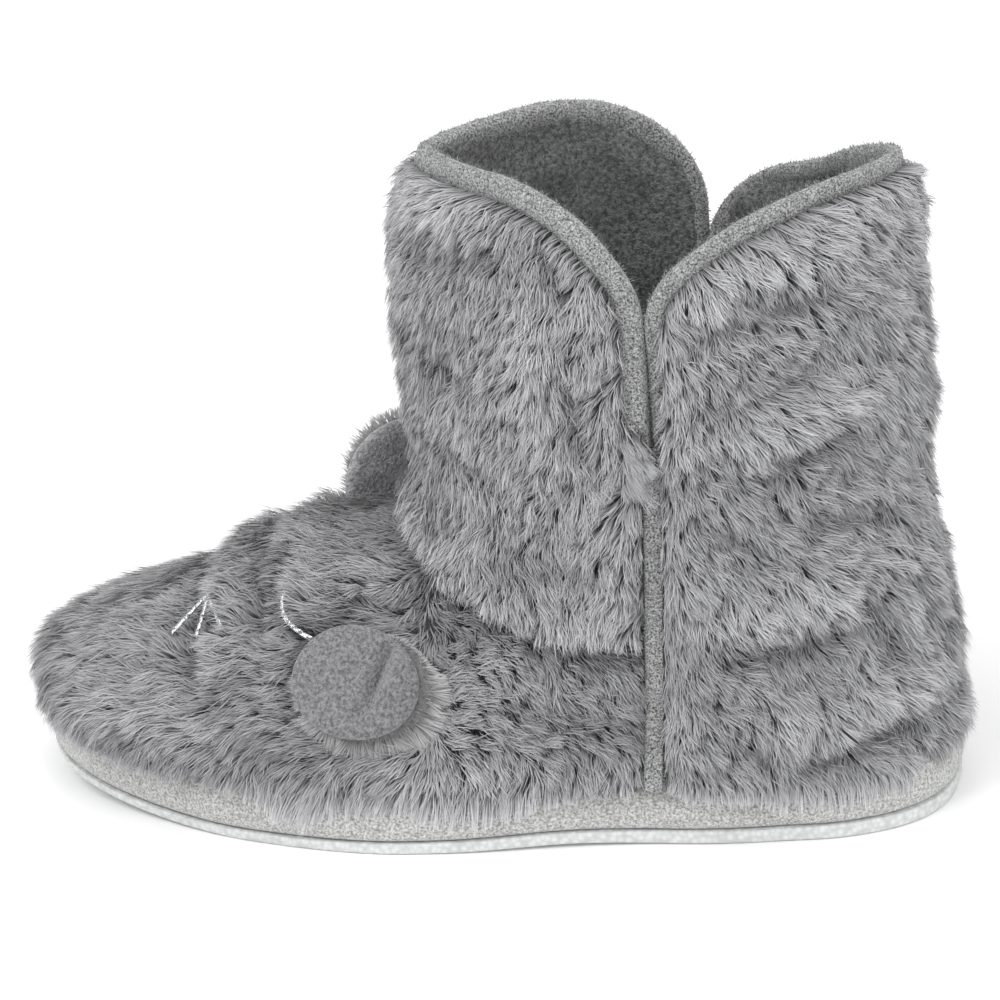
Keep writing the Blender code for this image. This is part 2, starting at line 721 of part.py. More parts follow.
# How far the platform's edge is set in at shares of its height, from the bottom up
PLATFORM_EDGE = ((0.0, 2.4), (0.15, 0.7), (0.42, 0.0), (0.73, 0.4), (0.95, 1.4), (1.0, 2.4))


def make_midsole():
    """The platform in its microsuede cover, with a bulging edge."""
    bm = bmesh.new()

    def between(share):
        return lambda x: platform_bottom(x) * (1 - share) + platform_top(x) * share

    edges = [edge_ring(inset, between(share)) for share, inset in PLATFORM_EDGE]
    ring_pile(bm, *plate(edges, platform_bottom, platform_top))
    return bm


INSOLE_THICKNESS = 4.5
INSOLE_FOOT_GAP = 1.6
INSOLE_FACE_GAP = 2.0
INSOLE_EDGE = 1.2
INSOLE_SLOPE = 0.65


def make_insole():
    """The loose footbed, clear of the lining all round."""
    bm = bmesh.new()
    z = sole_top_z(SOLE_PLACES)
    wall_inset = PILE + WALL - fur_overhang(SOLE_PLACES)
    low = sole_ring(SOLE_PLACES, -(wall_inset + INSOLE_FOOT_GAP))
    top = form_point(SOLE_PLACES, z + INSOLE_THICKNESS)
    inward = form_normal(SOLE_PLACES, z + INSOLE_THICKNESS)
    inward[:, 2] = 0.0
    high = top - inward * (PILE + WALL + INSOLE_FACE_GAP)

    def bottom(x):
        return platform_top(x) + 2 * FIT_GAP

    def shoulder(x):
        return platform_top(x) + INSOLE_THICKNESS - INSOLE_EDGE

    def face(x):
        return platform_top(x) + INSOLE_THICKNESS

    side = low * (1 - INSOLE_SLOPE) + high * INSOLE_SLOPE
    edges = [level(side, bottom), level(side, shoulder), level(high * 0.99, face)]
    ring_pile(bm, *plate(edges, bottom, face))
    return bm


def rim_path(panel, first_place, last_place, count_side, count_corner, count_top):
    """Places and heights along the middle of a panel's binding, from slit to slit."""
    inset = panel.binding_width / 2 + 2 * FIT_GAP
    half = []
    length = float(quarter_length(np.array([first_place + 0.3]), np.array([SLIT_SHOULDER_Z]))[0])
    corner = panel.corner_share * length
    for z in np.linspace(SLIT_Z + NOTCH + 2 * FIT_GAP, SLIT_SHOULDER_Z, count_side, endpoint=False):
        half.append((inset, z))
    for angle in np.linspace(0.0, math.pi / 2, count_corner, endpoint=False):
        away = corner - (corner - inset) * math.cos(angle)
        rise = (panel.top - SLIT_SHOULDER_Z - inset) * math.sin(angle)
        half.append((away, SLIT_SHOULDER_Z + rise))
    for away in np.linspace(corner, length, count_top):
        half.append((away, panel.top - inset))
    start = [(first_place + away / length, z) for away, z in half]
    end = [(last_place - away / length, z) for away, z in half]
    path = np.array(start + end[::-1][1:])
    if panel is BACK_PANEL:
        path[:, 1] -= leaf_drop(path[:, 0], path[:, 1])
    return path


BINDING_SIDES = 6
BINDING_PROUD = 1.2


def make_binding(panel, first_place, last_place):
    """Folded microsuede over a panel's cut edge, as one flat rounded tube."""
    bm = bmesh.new()
    path = rim_path(panel, first_place, last_place, 5, 9, 7)
    place, z = path[:, 0], path[:, 1]
    normal = form_normal(place, z)
    closed_slit = 1 - smooth_step(SLIT_SHOULDER_Z - 12.0, SLIT_SHOULDER_Z + 4.0, z)
    depth = PILE + WALL / 2 - BINDING_PROUD + panel.tuck * closed_slit
    centre = form_point(place, z) - normal * depth[:, None]
    along = np.gradient(centre, axis=0)
    along = along / np.linalg.norm(along, axis=1, keepdims=True)
    across = np.cross(normal, along)
    across = across / np.linalg.norm(across, axis=1, keepdims=True)
    rings = []
    for spot in range(len(centre)):
        ring = []
        for side in range(BINDING_SIDES):
            angle = 2 * math.pi * (side + 0.5) / BINDING_SIDES
            wide = panel.binding_width / 2 * math.sin(angle)
            thick = panel.thickness / 2 * math.cos(angle) / math.cos(math.pi / 6)
            ring.append(centre[spot] + across[spot] * wide + normal[spot] * thick)
        rings.append(np.array(ring))
    ring_pile(bm, rings, centre[0], centre[-1])
    return bm


TAPE_WIDTH = 5.0
TAPE_THICKNESS = 1.2
TAPE_CORNERS = ((-1.0, -1.0), (1.0, -1.0), (0.8, 1.0), (-0.8, 1.0))


def make_tape(seam_place):
    """Flat tape over a side seam, from the sole's edge to the foot of the slit."""
    bm = bmesh.new()
    low = float(sole_top_z(np.array([seam_place]))[0]) + 1.0
    heights = np.linspace(low, SLIT_Z - FIT_GAP, 16)
    place = np.full(len(heights), seam_place)
    normal = form_normal(place, heights)
    floor = PILE * (1 - seam_floor(place, heights))
    centre = form_point(place, heights) - normal * (floor - 2 * FIT_GAP - TAPE_THICKNESS / 2)[:, None]
    along = np.gradient(centre, axis=0)
    across = np.cross(normal, along)
    across = across / np.linalg.norm(across, axis=1, keepdims=True)
    rings = []
    for spot in range(len(heights)):
        ring = []
        for wide, thick in TAPE_CORNERS:
            reach = across[spot] * wide * TAPE_WIDTH / 2
            ring.append(centre[spot] + reach + normal[spot] * thick * TAPE_THICKNESS / 2)
        rings.append(np.array(ring))
    ring_pile(bm, rings, centre[0], centre[-1])
    return bm


EAR_COLUMNS = 24

# An ear pad's rings: share of its radius and of its thickness, from back to front
PAD_RINGS = ((0.5, 0.0), (0.9, 0.0), (1.0, 0.45), (0.93, 0.88), (0.55, 1.0))


def make_pad(place_point, middle, radius, low, thick, ragged):
    """A round pad: rings from its back centre over the edge to its front centre."""
    bm = bmesh.new()
    angles = np.linspace(0.0, 2 * math.pi, EAR_COLUMNS, endpoint=False)
    fringe = 1 + ragged * (flicker(np.full(EAR_COLUMNS, 5), np.arange(EAR_COLUMNS)) - 0.5)
    rings = []
    for share, height in PAD_RINGS:
        reach = radius * share * (fringe if share > 0.85 else 1.0)
        across = middle[0] + reach * np.cos(angles)
        upward = middle[1] + reach * np.sin(angles)
        rings.append(place_point(across, upward, low + thick * height))
    hub = np.array(middle)[:, None]
    back = place_point(hub[0], hub[1], low)[0]
    front = place_point(hub[0], hub[1], low + thick)[0]
    ring_pile(bm, rings, back, front)
    return bm


def near_ear_point(across, upward, lift):
    """A point of the near ear, which hangs over the side of the vamp."""
    x = NEAR_EAR.x + across
    z = NEAR_EAR.z + upward * EAR_FLATTENING
    y = TOE_SWING * (1 - toe_rounding(x)) - foot_width(x, z, "near")
    step = 1.0
    slope_x = (foot_width(x + step, z, "near") - foot_width(x - step, z, "near")) / (2 * step)
    slope_z = (foot_width(x, z + step, "near") - foot_width(x, z - step, "near")) / (2 * step)
    normal = np.stack([-slope_x, -np.ones_like(slope_x), -slope_z], 1)
    normal = normal / np.linalg.norm(normal, axis=1, keepdims=True)
    return np.stack([x, y, z], 1) + normal * (lift - PILE * PRESSED)


def vamp_top_z(x, y):
    """Height of the fur's outer form on the far side of the vamp."""
    heights = np.linspace(40.0, 100.0, 121)
    tops = []
    for station, reach in zip(x, y):
        width = vamp_half_width(np.full(121, station), heights, "far")
        tops.append(np.interp(-reach, -width, heights))
    return np.array(tops)


def far_ear_point(across, upward, lift):
    """A point of the far ear, which stands up on the far side of the throat."""
    x = FAR_EAR.x + across * math.cos(FAR_EAR_TURN) + lift * math.sin(FAR_EAR_TURN)
    y = FAR_EAR_Y + across * math.sin(FAR_EAR_TURN) - lift * math.cos(FAR_EAR_TURN)
    foot = vamp_top_z(x, y) - FAR_EAR_SINK
    above = FAR_EAR.z + upward - foot
    soft = EAR_FOOT_ROUNDING * np.exp(np.clip(above / EAR_FOOT_ROUNDING - 1.0, -9.0, 0.0))
    z = foot + np.where(above < EAR_FOOT_ROUNDING, soft, above)
    return np.stack([x, y, z], 1)


def add_part(name, bm, material):
    """Turn a mesh into the named sub-part, moved so that the shoe stands on its origin."""
    bmesh.ops.translate(bm, verts=bm.verts, vec=[shift * MM for shift in CENTRE_SHIFT])
    bmesh.ops.triangulate(bm, faces=bm.faces)
    bmesh.ops.recalc_face_normals(bm, faces=bm.faces)
    mesh = bpy.data.meshes.new(name)
    bm.to_mesh(mesh)
    bm.free()
    mesh.shade_smooth()
    mesh.set_sharp_from_angle(angle=math.radians(50))
    mesh.materials.append(material)
    part = bpy.data.objects.new(name, mesh)
    bpy.context.collection.objects.link(part)
    return part


def make_material(name, colour, roughness, metallic=0.0):
    material = bpy.data.materials.new(name)
    material.use_nodes = True
    shader = material.node_tree.nodes["Principled BSDF"]
    shader.inputs["Base Color"].default_value = (*colour, 1.0)
    shader.inputs["Roughness"].default_value = roughness
    shader.inputs["Metallic"].default_value = metallic
    return material


for old in list(bpy.data.objects):
    bpy.data.objects.remove(old, do_unlink=True)

add_part("outsole", make_outsole(), make_material("white_foam", (0.78, 0.80, 0.79), 0.55))
add_part("midsole", make_midsole(), make_material("sole_microsuede", (0.30, 0.30, 0.29), 0.9))
add_part("insole", make_insole(), make_material("footbed_fleece", (0.23, 0.23, 0.24), 1.0))
add_part("upper", make_upper(), make_material("grey_fur", (0.36, 0.35, 0.37), 0.95))
add_part("binding_front", make_binding(FRONT_PANEL, -1.0, 1.0),
         make_material("front_microsuede", (0.27, 0.28, 0.28), 0.9))
add_part("binding_back", make_binding(BACK_PANEL, 1.0, 3.0),
         make_material("back_microsuede", (0.27, 0.28, 0.28), 0.9))
add_part("side_tape_near", make_tape(1.0),
         make_material("near_tape", (0.27, 0.28, 0.28), 0.9))
add_part("side_tape_far", make_tape(3.0),
         make_material("far_tape", (0.27, 0.28, 0.28), 0.9))
for side, ear, ear_point, low in (("near", NEAR_EAR, near_ear_point, NEAR_EAR_LIFT),
                                  ("far", FAR_EAR, far_ear_point, 0.0)):
    fur_pad = make_pad(ear_point, (ear.fur_x, ear.fur_z), ear.fur_radius, low,
                       EAR_FUR_THICKNESS, EAR_RAGGED)
    add_part("ear_%s_fur" % side, fur_pad,
             make_material("ear_fur_" + side, (0.40, 0.39, 0.41), 0.95))
    fleece_low = low + EAR_FUR_THICKNESS + FIT_GAP
    fleece_pad = make_pad(ear_point, (0.0, 0.0), ear.radius, fleece_low,
                          EAR_FLEECE_THICKNESS, 0.0)
    add_part("ear_%s_fleece" % side, fleece_pad,
             make_material("ear_fleece_" + side, (0.30, 0.30, 0.31), 1.0))
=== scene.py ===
import math
from collections import namedtuple

import bmesh
import bpy
import numpy as np
from mathutils import Matrix, Vector


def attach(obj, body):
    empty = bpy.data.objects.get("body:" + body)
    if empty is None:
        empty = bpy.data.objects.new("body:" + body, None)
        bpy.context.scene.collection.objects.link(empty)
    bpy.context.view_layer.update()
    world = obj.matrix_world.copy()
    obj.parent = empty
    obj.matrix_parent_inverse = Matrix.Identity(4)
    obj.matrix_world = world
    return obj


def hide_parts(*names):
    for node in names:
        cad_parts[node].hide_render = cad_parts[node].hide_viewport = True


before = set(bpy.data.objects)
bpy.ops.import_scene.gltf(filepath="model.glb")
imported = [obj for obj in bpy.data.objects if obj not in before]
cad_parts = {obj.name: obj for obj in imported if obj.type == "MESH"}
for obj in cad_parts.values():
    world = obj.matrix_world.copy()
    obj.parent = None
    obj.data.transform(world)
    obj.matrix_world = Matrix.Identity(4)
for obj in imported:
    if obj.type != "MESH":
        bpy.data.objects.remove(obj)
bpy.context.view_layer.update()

MM = 0.001
LAST_SHIFT = np.array([-2.25, 0.9, 0.0])

# Sizes shared with the solids
FIT_GAP = 0.3
SOLE_HEIGHT = 17.0
TOE_SPRING = 8.5
SPRING_START_X = -60.0
TOE_X = -130.0
TOE_ROUNDING = 100.0
TOE_SWING = 7.0
THROAT_Z = 88.0
SEAM_HEM_Z = 60.0
SLIT_Z = 115.0
SLIT_SHOULDER_Z = 150.0
FRONT_TOP_Z = 188.5
BACK_TOP_Z = 184.0
LEAF_SAG = 8.0
LEAF_DROP = 11.5
LEAF_START = 0.05
LEAF_END = 0.62
LEAF_FOOT_Z = 122.0
LEAF_FULL_Z = 160.0
FILLET = 8.0
ARCH_RISE_POWER = 2.2
ARCH_WIDTH_POWER = 1.9
PILE = 7.0
WALL = 2.5
TUCKED = 0.55
PRESSED = 0.72
NOTCH = 2.2
NECK_Z = 108.0
NECK_DEPTH = 3.2
HEM_RAISE = 4.0

# Top line of the fur from the toe to the instep
Ridge = namedtuple("Ridge", "x z")
RIDGE = [Ridge(*row) for row in (
    (-130.0, 30.0), (-129.4, 35.5), (-127.8, 39.5), (-125.0, 43.0), (-121.0, 46.0),
    (-113.0, 50.0), (-105.0, 53.0), (-98.0, 56.0), (-83.0, 62.0), (-75.0, 65.3), (-68.0, 69.5),
    (-60.0, 74.0), (-53.0, 77.0), (-46.0, 79.0), (-38.0, 81.3), (-25.0, 84.3), (-10.0, 87.5),
    (10.0, 91.0), (64.0, 97.0),
)]

# Greatest half widths of the foot, as if the toe were square
Side = namedtuple("Side", "x near far")
SIDES = [Side(*row) for row in (
    (-130.0, 54.0, 60.0), (-96.0, 54.2, 57.6), (-60.0, 54.8, 54.2), (-40.0, 55.3, 52.5),
    (-20.0, 56.0, 51.0), (0.0, 55.0, 48.5), (20.0, 52.5, 45.5), (40.0, 50.0, 43.5),
    (64.0, 47.5, 42.5),
)]

# Level sections of heel and shaft: front, side seam and back along X, half widths at the
# seam, and how square the front and back curves are
Section = namedtuple("Section", "z front seam back near far front_round back_round")
SECTIONS = [Section(*row) for row in (
    (0.0, -17.5, 55.0, 133.5, 46.0, 42.0, 2.3, 2.3),
    (17.0, -17.5, 55.5, 134.8, 47.5, 43.0, 2.3, 2.3),
    (30.0, -17.5, 56.2, 134.3, 49.5, 45.5, 2.3, 2.25),
    (45.0, -17.5, 57.3, 133.5, 51.0, 48.0, 2.3, 2.2),
    (60.0, -17.5, 58.3, 132.0, 52.0, 50.0, 2.3, 2.15),
    (78.0, -17.5, 59.6, 128.6, 52.6, 51.5, 2.25, 2.05),
    (92.0, -17.2, 60.5, 128.8, 53.0, 52.5, 2.2, 2.0),
    (116.0, -17.2, 62.0, 129.4, 54.0, 54.0, 2.05, 1.9),
    (147.0, -17.0, 62.5, 129.8, 55.0, 55.0, 1.78, 1.75),
    (164.0, -16.8, 62.5, 130.6, 55.0, 54.5, 1.62, 1.68),
    (175.0, -14.0, 62.5, 130.2, 54.5, 54.0, 1.5, 1.62),
    (195.0, -6.0, 62.5, 128.0, 54.0, 53.0, 1.42, 1.6),
)]

# How far the fur stands out past the sole, from the toe at 0 past the seam at 1 to the heel
Overhang = namedtuple("Overhang", "from_toe reach")
OVERHANGS = [Overhang(*row) for row in (
    (0.0, 2.5), (0.12, 5.0), (0.3, 7.6), (0.48, 5.4), (0.66, 2.8), (0.8, 3.4), (1.0, 6.4),
    (1.3, 6.8), (1.5, 4.4), (1.75, 2.6), (2.0, 3.4),
)]

# A panel above the slit: the place of its first slit, its height, the share of its length
# over which the rim rounds down to the slit, its binding's width and thickness, and how
# deep the binding lies there
Panel = namedtuple("Panel", "first top corner_share binding_width thickness tuck")
FRONT_PANEL = Panel(-1.0, FRONT_TOP_Z, 0.55, 7.0, 4.6, 0.0)
BACK_PANEL = Panel(1.0, BACK_TOP_Z, 0.75, 5.5, 4.2, 1.6)

# Round ears
Ear = namedtuple("Ear", "x z radius fur_radius fur_x fur_z")
NEAR_EAR = Ear(-23.0, 49.3, 17.4, 21.5, 3.0, -2.0)
FAR_EAR = Ear(-26.2, 79.0, 17.6, 18.2, 2.6, 0.0)
FAR_EAR_Y = 27.0
FAR_EAR_TURN = math.radians(36.0)
FAR_EAR_SINK = 5.7
EAR_FOOT_ROUNDING = 4.0
EAR_FLATTENING = 0.78
NEAR_EAR_LIFT = 0.3
EAR_FUR_THICKNESS = 3.6
EAR_FUR_INSET = 3.5
EAR_FLEECE_THICKNESS = 3.4

# Soft troughs (depth above 0) and ridges (below 0) of the fur, from one end to the other
Crease = namedtuple("Crease", "x1 z1 x2 z2 width depth")
CREASES = [Crease(*row) for row in (
    # Muzzle, brow and cheek
    (-74, 70, -70, 50, 4.0, 3.2), (-64, 73, -61, 52, 5.5, -2.4), (-53, 76, -50, 62, 3.6, 3.6),
    (-42, 77, -36, 66, 5.5, -2.8), (-33, 71, -14, 76, 5.0, -1.8), (-34, 62, -22, 66, 3.0, 1.8),
    (-14, 68, 6, 60, 3.5, 1.8), (-98, 38, -70, 33, 7.0, -1.1), (-55, 34, -47, 28, 4.0, 1.3),
    (20, 44, 52, 36, 5.0, 1.2),
    # Front of the shaft
    (-4, 164, 20, 169, 3.6, 2.0), (-2, 176, 14, 180, 6.0, -1.4), (36, 174, 42, 162, 2.6, 2.4),
    (31, 158, 35, 116, 6.0, -1.5), (42, 136, 44, 120, 2.4, 1.3), (-6, 140, 12, 134, 4.0, 1.4),
    (4, 113, 22, 108, 4.0, 1.2), (20, 92, 44, 84, 4.0, 1.0),
    # Back of the shaft and heel
    (76, 153, 106, 158, 3.6, 1.9), (80, 163, 108, 167, 6.0, -1.5),
    (80, 131, 101, 136, 3.4, 1.5), (90, 111, 108, 118, 3.6, 2.2),
    (90, 120, 108, 127, 6.0, -1.6), (99, 95, 117, 93, 3.4, 1.8), (74, 98, 90, 88, 3.6, 1.4),
    (114, 69, 119, 54, 3.6, 2.0), (78, 58, 106, 63, 3.4, 1.7), (76, 68, 104, 74, 6.0, -1.3),
    (97, 26, 116, 32, 3.4, 2.2), (116, 32, 133, 36, 3.4, 2.2), (92, 36, 128, 44, 6.0, -1.4),
    (70, 36, 86, 30, 3.6, 1.4),
)]

# Lower edge of the fur over the sole band: how far it hangs below the band's top
Hang = namedtuple("Hang", "x drop")
HANGS = [Hang(*row) for row in (
    (-131.0, 0.5), (-112.0, 0.0), (-92.0, -1.0), (-70.0, 0.0), (-52.0, 2.0), (-38.0, 8.5),
    (-27.0, 3.0), (-14.0, 3.0), (0.0, 6.5), (18.0, 5.5), (30.0, 1.0), (48.0, -1.5),
    (62.0, -1.0), (76.0, 2.0), (94.0, 5.0), (118.0, 5.0), (134.0, 3.5),
)]

# Silver embroidery on each side of the face: points along X and Z of the fur's form
EYE_LINE = [(-42.4, 74.0), (-44.6, 70.8), (-46.2, 66.8), (-44.6, 63.6), (-40.8, 61.3),
            (-35.0, 59.2)]
WHISKER_ROOT = (-70.4, 63.2)
WHISKER_ENDS = [(-63.8, 58.6), (-71.8, 55.4), (-79.6, 54.6)]
STITCH_DEPTH = 2.2
TAPE_WIDTH = 5.0
TAPE_THICKNESS = 1.2

GENERATOR_SEED = 5


def smooth_line(places, values):
    """A smooth line through table values that never swings past them."""
    places = np.array(places, float)
    values = np.array(values, float)
    steps = np.diff(places)
    slopes = np.diff(values) / steps
    bends = np.zeros(len(places))
    bends[0] = slopes[0]
    bends[-1] = slopes[-1]
    product = slopes[:-1] * slopes[1:]
    total = slopes[:-1] + slopes[1:]
    safe_total = np.where(product > 0, total, 1.0)
    bends[1:-1] = np.where(product > 0, 2 * product / safe_total, 0.0)

    def value_at(place):
        place = np.clip(np.asarray(place, float), places[0], places[-1])
        row = np.clip(np.searchsorted(places, place) - 1, 0, len(steps) - 1)
        part = (place - places[row]) / steps[row]
        rise = part * part * (3 - 2 * part)
        return (values[row] * (1 - rise) + values[row + 1] * rise
                + steps[row] * part * (1 - part)
                * (bends[row] * (1 - part) - bends[row + 1] * part))

    return value_at


def table_line(rows, across, name):
    return smooth_line([getattr(row, across) for row in rows], [getattr(row, name) for row in rows])


ridge_height = table_line(RIDGE, "x", "z")
side_width = {"near": table_line(SIDES, "x", "near"), "far": table_line(SIDES, "x", "far")}
overhang_reach = table_line(OVERHANGS, "from_toe", "reach")
hang_drop = table_line(HANGS, "x", "drop")
section_line = {name: table_line(SECTIONS, "z", name) for name in Section._fields[1:]}


def smooth_step(start, end, value):
    part = np.clip((value - start) / (end - start), 0.0, 1.0)
    return part * part * (3 - 2 * part)


def unit(vectors):
    return vectors / np.maximum(np.linalg.norm(vectors, axis=-1, keepdims=True), 1e-9)


def without(vectors, axes, share=1.0):
    """Vectors less a share of the part of them that runs along unit axes."""
    return vectors - axes * np.sum(vectors * axes, 1, keepdims=True) * share


def downward(slant):
    """Directions down and slanted along X."""
    return np.stack([slant, 0 * slant, -np.ones_like(slant)], 1)


def line_length(points):
    """Length along a line at each of its points."""
    return np.concatenate([[0.0], np.cumsum(np.linalg.norm(np.diff(points, axis=0), axis=1))])


def along_line(values, length, spots):
    """Three-part values of a line's points, read at lengths along it."""
    return np.stack([np.interp(spots, length, values[:, k]) for k in range(3)], -1)


def toe_lift(x):
    """Height of the sole's lower face: flat under heel and ball, sprung at the toe."""
    share = np.clip((SPRING_START_X - x) / (SPRING_START_X - TOE_X), 0.0, 1.0)
    return TOE_SPRING * share ** 2


def toe_rounding(x):
    share = np.clip((x - TOE_X) / TOE_ROUNDING, 0.0, 1.0)
    return np.sqrt(np.clip(1 - (1 - share) ** 2, 0.0, 1.0))


def middle_y(x):
    """The last's centre line, which swings at the toe."""
    return TOE_SWING * (1 - toe_rounding(x))


def vamp_half_width(x, z, side):
    """Half width of the foot's arched section at a station and a height."""
    base = SOLE_HEIGHT + toe_lift(x)
    rise = np.clip((z - base) / (ridge_height(x) - base), 0.0, 1.0)
    arch = (1 - rise ** ARCH_RISE_POWER) ** (1 / ARCH_WIDTH_POWER)
    return side_width[side](x) * toe_rounding(x) * arch


def shaft_half_width(x, z, side):
    """Half width of the shaft in front of the side seam, below zero ahead of it."""
    front = section_line["front"](z)
    seam = section_line["seam"](z)
    power = section_line["front_round"](z)
    share = np.clip((seam - x) / (seam - front), 0.0, 1.0)
    width = section_line[side](z) * (1 - share ** power) ** (1 / power)
    return np.where(x > front, width, -20.0)


def blended(first, second):
    """The larger of two widths, with a soft fillet where they cross."""
    near = np.clip(FILLET - np.abs(first - second), 0.0, None) / FILLET
    return np.maximum(first, second) + near * near * FILLET / 4


def foot_width(x, z, side):
    """Half width of the outer form ahead of the side seam."""
    return blended(vamp_half_width(x, z, side), shaft_half_width(x, z, side))


FORM_STATIONS = np.linspace(RIDGE[0].x, RIDGE[-1].x, 800)


def section_front(z):
    """The foremost point of a level section."""
    tip = np.interp(z, ridge_height(FORM_STATIONS), FORM_STATIONS)
    return min(tip, float(section_line["front"](z)))


def quarter(z, part, side, count=160):
    """One quarter of a level section, from its midline end to the side seam."""
    share = np.linspace(0.0, 1.0, count) ** 2
    seam = float(section_line["seam"](z))
    if part == "front":
        tip = section_front(z)
        x = tip + (seam - tip) * share
        y = foot_width(x, z, side)
        y[0] = 0.0
    else:
        back = float(section_line["back"](z))
        power = float(section_line["back_round"](z))
        x = back + (seam - back) * share
        width = foot_width(np.array([seam]), z, side)[0]
        y = width * (1 - np.clip((x - seam) / (back - seam), 0.0, 1.0) ** power) ** (1 / power)
    y = middle_y(x) - y if side == "near" else middle_y(x) + y
    if part == "back" and side == "far":
        slack = smooth_step(SLIT_SHOULDER_Z - 20.0, BACK_TOP_Z, z)
        y = y - LEAF_SAG * slack * np.sin(math.pi * np.sqrt(share)) ** 2
    length = np.concatenate([[0.0], np.cumsum(np.hypot(np.diff(x), np.diff(y)))])
    return x, y, length


FINE_COLUMNS = 150
FORM_LOW_Z = 4.0
FORM_HEIGHTS = np.linspace(FORM_LOW_Z, 192.0, 189)


def build_form():
    """Sample the outer form: heights down, places round the shoe across.

    A place round the shoe runs 0 at the toe, 1 at the near seam, 2 at the heel, 3 at the
    far seam and 4 at the toe again.
    """
    shares = np.linspace(0.0, 1.0, FINE_COLUMNS + 1)
    rows = []
    seam_lengths = []
    for z in FORM_HEIGHTS:
        ring = []
        lengths = []
        for part, side, turned in (("front", "near", False), ("back", "near", True),
                                   ("back", "far", False), ("front", "far", True)):
            x, y, length = quarter(z, part, side)
            wanted = shares * length[-1]
            points = np.stack([np.interp(wanted, length, x), np.interp(wanted, length, y)], 1)
            if turned:
                points = points[::-1]
            ring.append(points[:-1])
            lengths.append(length[-1])
        rows.append(np.concatenate(ring + [ring[0][:1]]))
        seam_lengths.append(lengths)
    return np.array(rows), np.array(seam_lengths)


FORM, QUARTER_LENGTHS = build_form()


def form_point(place, z):
    """The outer form at places round the shoe and heights."""
    place = np.asarray(place, float) % 4.0
    z = np.asarray(z, float)
    row = (z - FORM_LOW_Z) / (FORM_HEIGHTS[1] - FORM_HEIGHTS[0])
    row = np.clip(row, 0, len(FORM_HEIGHTS) - 1.001)
    low = row.astype(int)
    up = (row - low)[..., None]
    column = place * FINE_COLUMNS
    left = np.clip(column.astype(int), 0, 4 * FINE_COLUMNS - 1)
    across = (column - left)[..., None]
    lower = FORM[low, left] * (1 - across) + FORM[low, left + 1] * across
    upper = FORM[low + 1, left] * (1 - across) + FORM[low + 1, left + 1] * across
    plan = lower * (1 - up) + upper * up
    return np.concatenate([plan, z[..., None] + 0 * plan[..., :1]], -1)


def form_normal(place, z, reach=0.02, lift=2.0):
    """Outward normals of the outer form."""
    along = form_point(place + reach, z) - form_point(place - reach, z)
    upward = form_point(place, z + lift) - form_point(place, np.maximum(z - lift, FORM_LOW_Z))
    return unit(np.cross(along, upward))


def quarter_length(place, z):
    """Length round the shoe of the quarter that holds a place."""
    which = np.clip(np.asarray(place, float) % 4.0, 0, 3.999).astype(int)
    lengths = np.stack([np.interp(z, FORM_HEIGHTS, QUARTER_LENGTHS[:, k]) for k in range(4)])
    return np.take_along_axis(lengths, which[None], 0)[0]


def from_toe(place):
    """Distance round the shoe from the toe: 1 is either side seam, 2 is the heel."""
    return np.minimum(place, 4.0 - place)


def sole_top_z(place):
    """Height of the platform's top under a place round the shoe."""
    z = np.full(np.shape(place), SOLE_HEIGHT)
    for _ in range(3):
        z = SOLE_HEIGHT + toe_lift(form_point(place, z)[..., 0])
    return z


def sole_ring(place, outset=0.0):
    """The sole's outline, found from the upper above it, with an outset."""
    z = sole_top_z(place)
    normal = form_normal(place, z + 3.0)
    normal[..., 2] = 0.0
    reach = overhang_reach(from_toe(place)) - outset
    return form_point(place, z) - unit(normal) * reach[..., None]


def hem_line_z(place):
    """Lower edge of the shaft's front panel."""
    fall = THROAT_Z - SEAM_HEM_Z - HEM_RAISE
    return THROAT_Z - fall * smooth_step(0.12, 0.95, from_toe(place))


def leaf_drop(place, z):
    """How much lower the slack far half of the back panel stands, none at the slit's foot."""
    along = smooth_step(LEAF_START, LEAF_END, place - 2.0)
    return LEAF_DROP * along * smooth_step(LEAF_FOOT_Z, LEAF_FULL_Z, z)


def rim_height(panel, slit_distance, inset, length, place):
    """Height of a panel's rim at a distance from the slit, moved in by inset."""
    corner = panel.corner_share * length
    rise = panel.top - SLIT_SHOULDER_Z
    share = np.clip((corner - slit_distance) / (corner - inset), 0.0, 1.0)
    height = SLIT_SHOULDER_Z + (rise - inset) * np.sqrt(np.clip(1 - share ** 2, 0.0, 1.0))
    return height - (leaf_drop(place, height) if panel is BACK_PANEL else 0.0)


# Even spreads of numbers that are the same at each run

# Large odd numbers that mix a cell's place into an even spread
CELL_FACTORS = (73856093, 19349663, 83492791)
MIXERS = (2246822519, 3266489917)
LOW_WORD = 0xFFFFFFFF
DICE_RANGE = 0x1000000


def dice(cells, seed):
    """A number from 0 to 1 for each whole-numbered cell, mixed like a hash."""
    mixed = 0
    for axis, factor in enumerate(CELL_FACTORS):
        mixed = mixed ^ cells[..., axis] * factor
    mixed = (mixed ^ seed * 40503) & LOW_WORD
    for shift, mixer in zip((15, 13), MIXERS):
        mixed = ((mixed ^ mixed >> shift) * mixer) & LOW_WORD
    return ((mixed ^ mixed >> 16) & (DICE_RANGE - 1)) / float(DICE_RANGE)


def soft_noise(points, size, seed):
    """Smooth noise from -1 to 1 whose bumps are about size apart."""
    scaled = points / np.asarray(size, float)
    cell = np.floor(scaled).astype(np.int64)
    part = scaled - cell
    part = part * part * (3 - 2 * part)
    total = np.zeros(len(points))
    for corner in range(8):
        step = np.array([corner & 1, corner >> 1 & 1, corner >> 2 & 1])
        weight = np.prod(np.where(step, part, 1 - part), axis=1)
        total += weight * dice(cell + step, seed)
    return total * 2 - 1


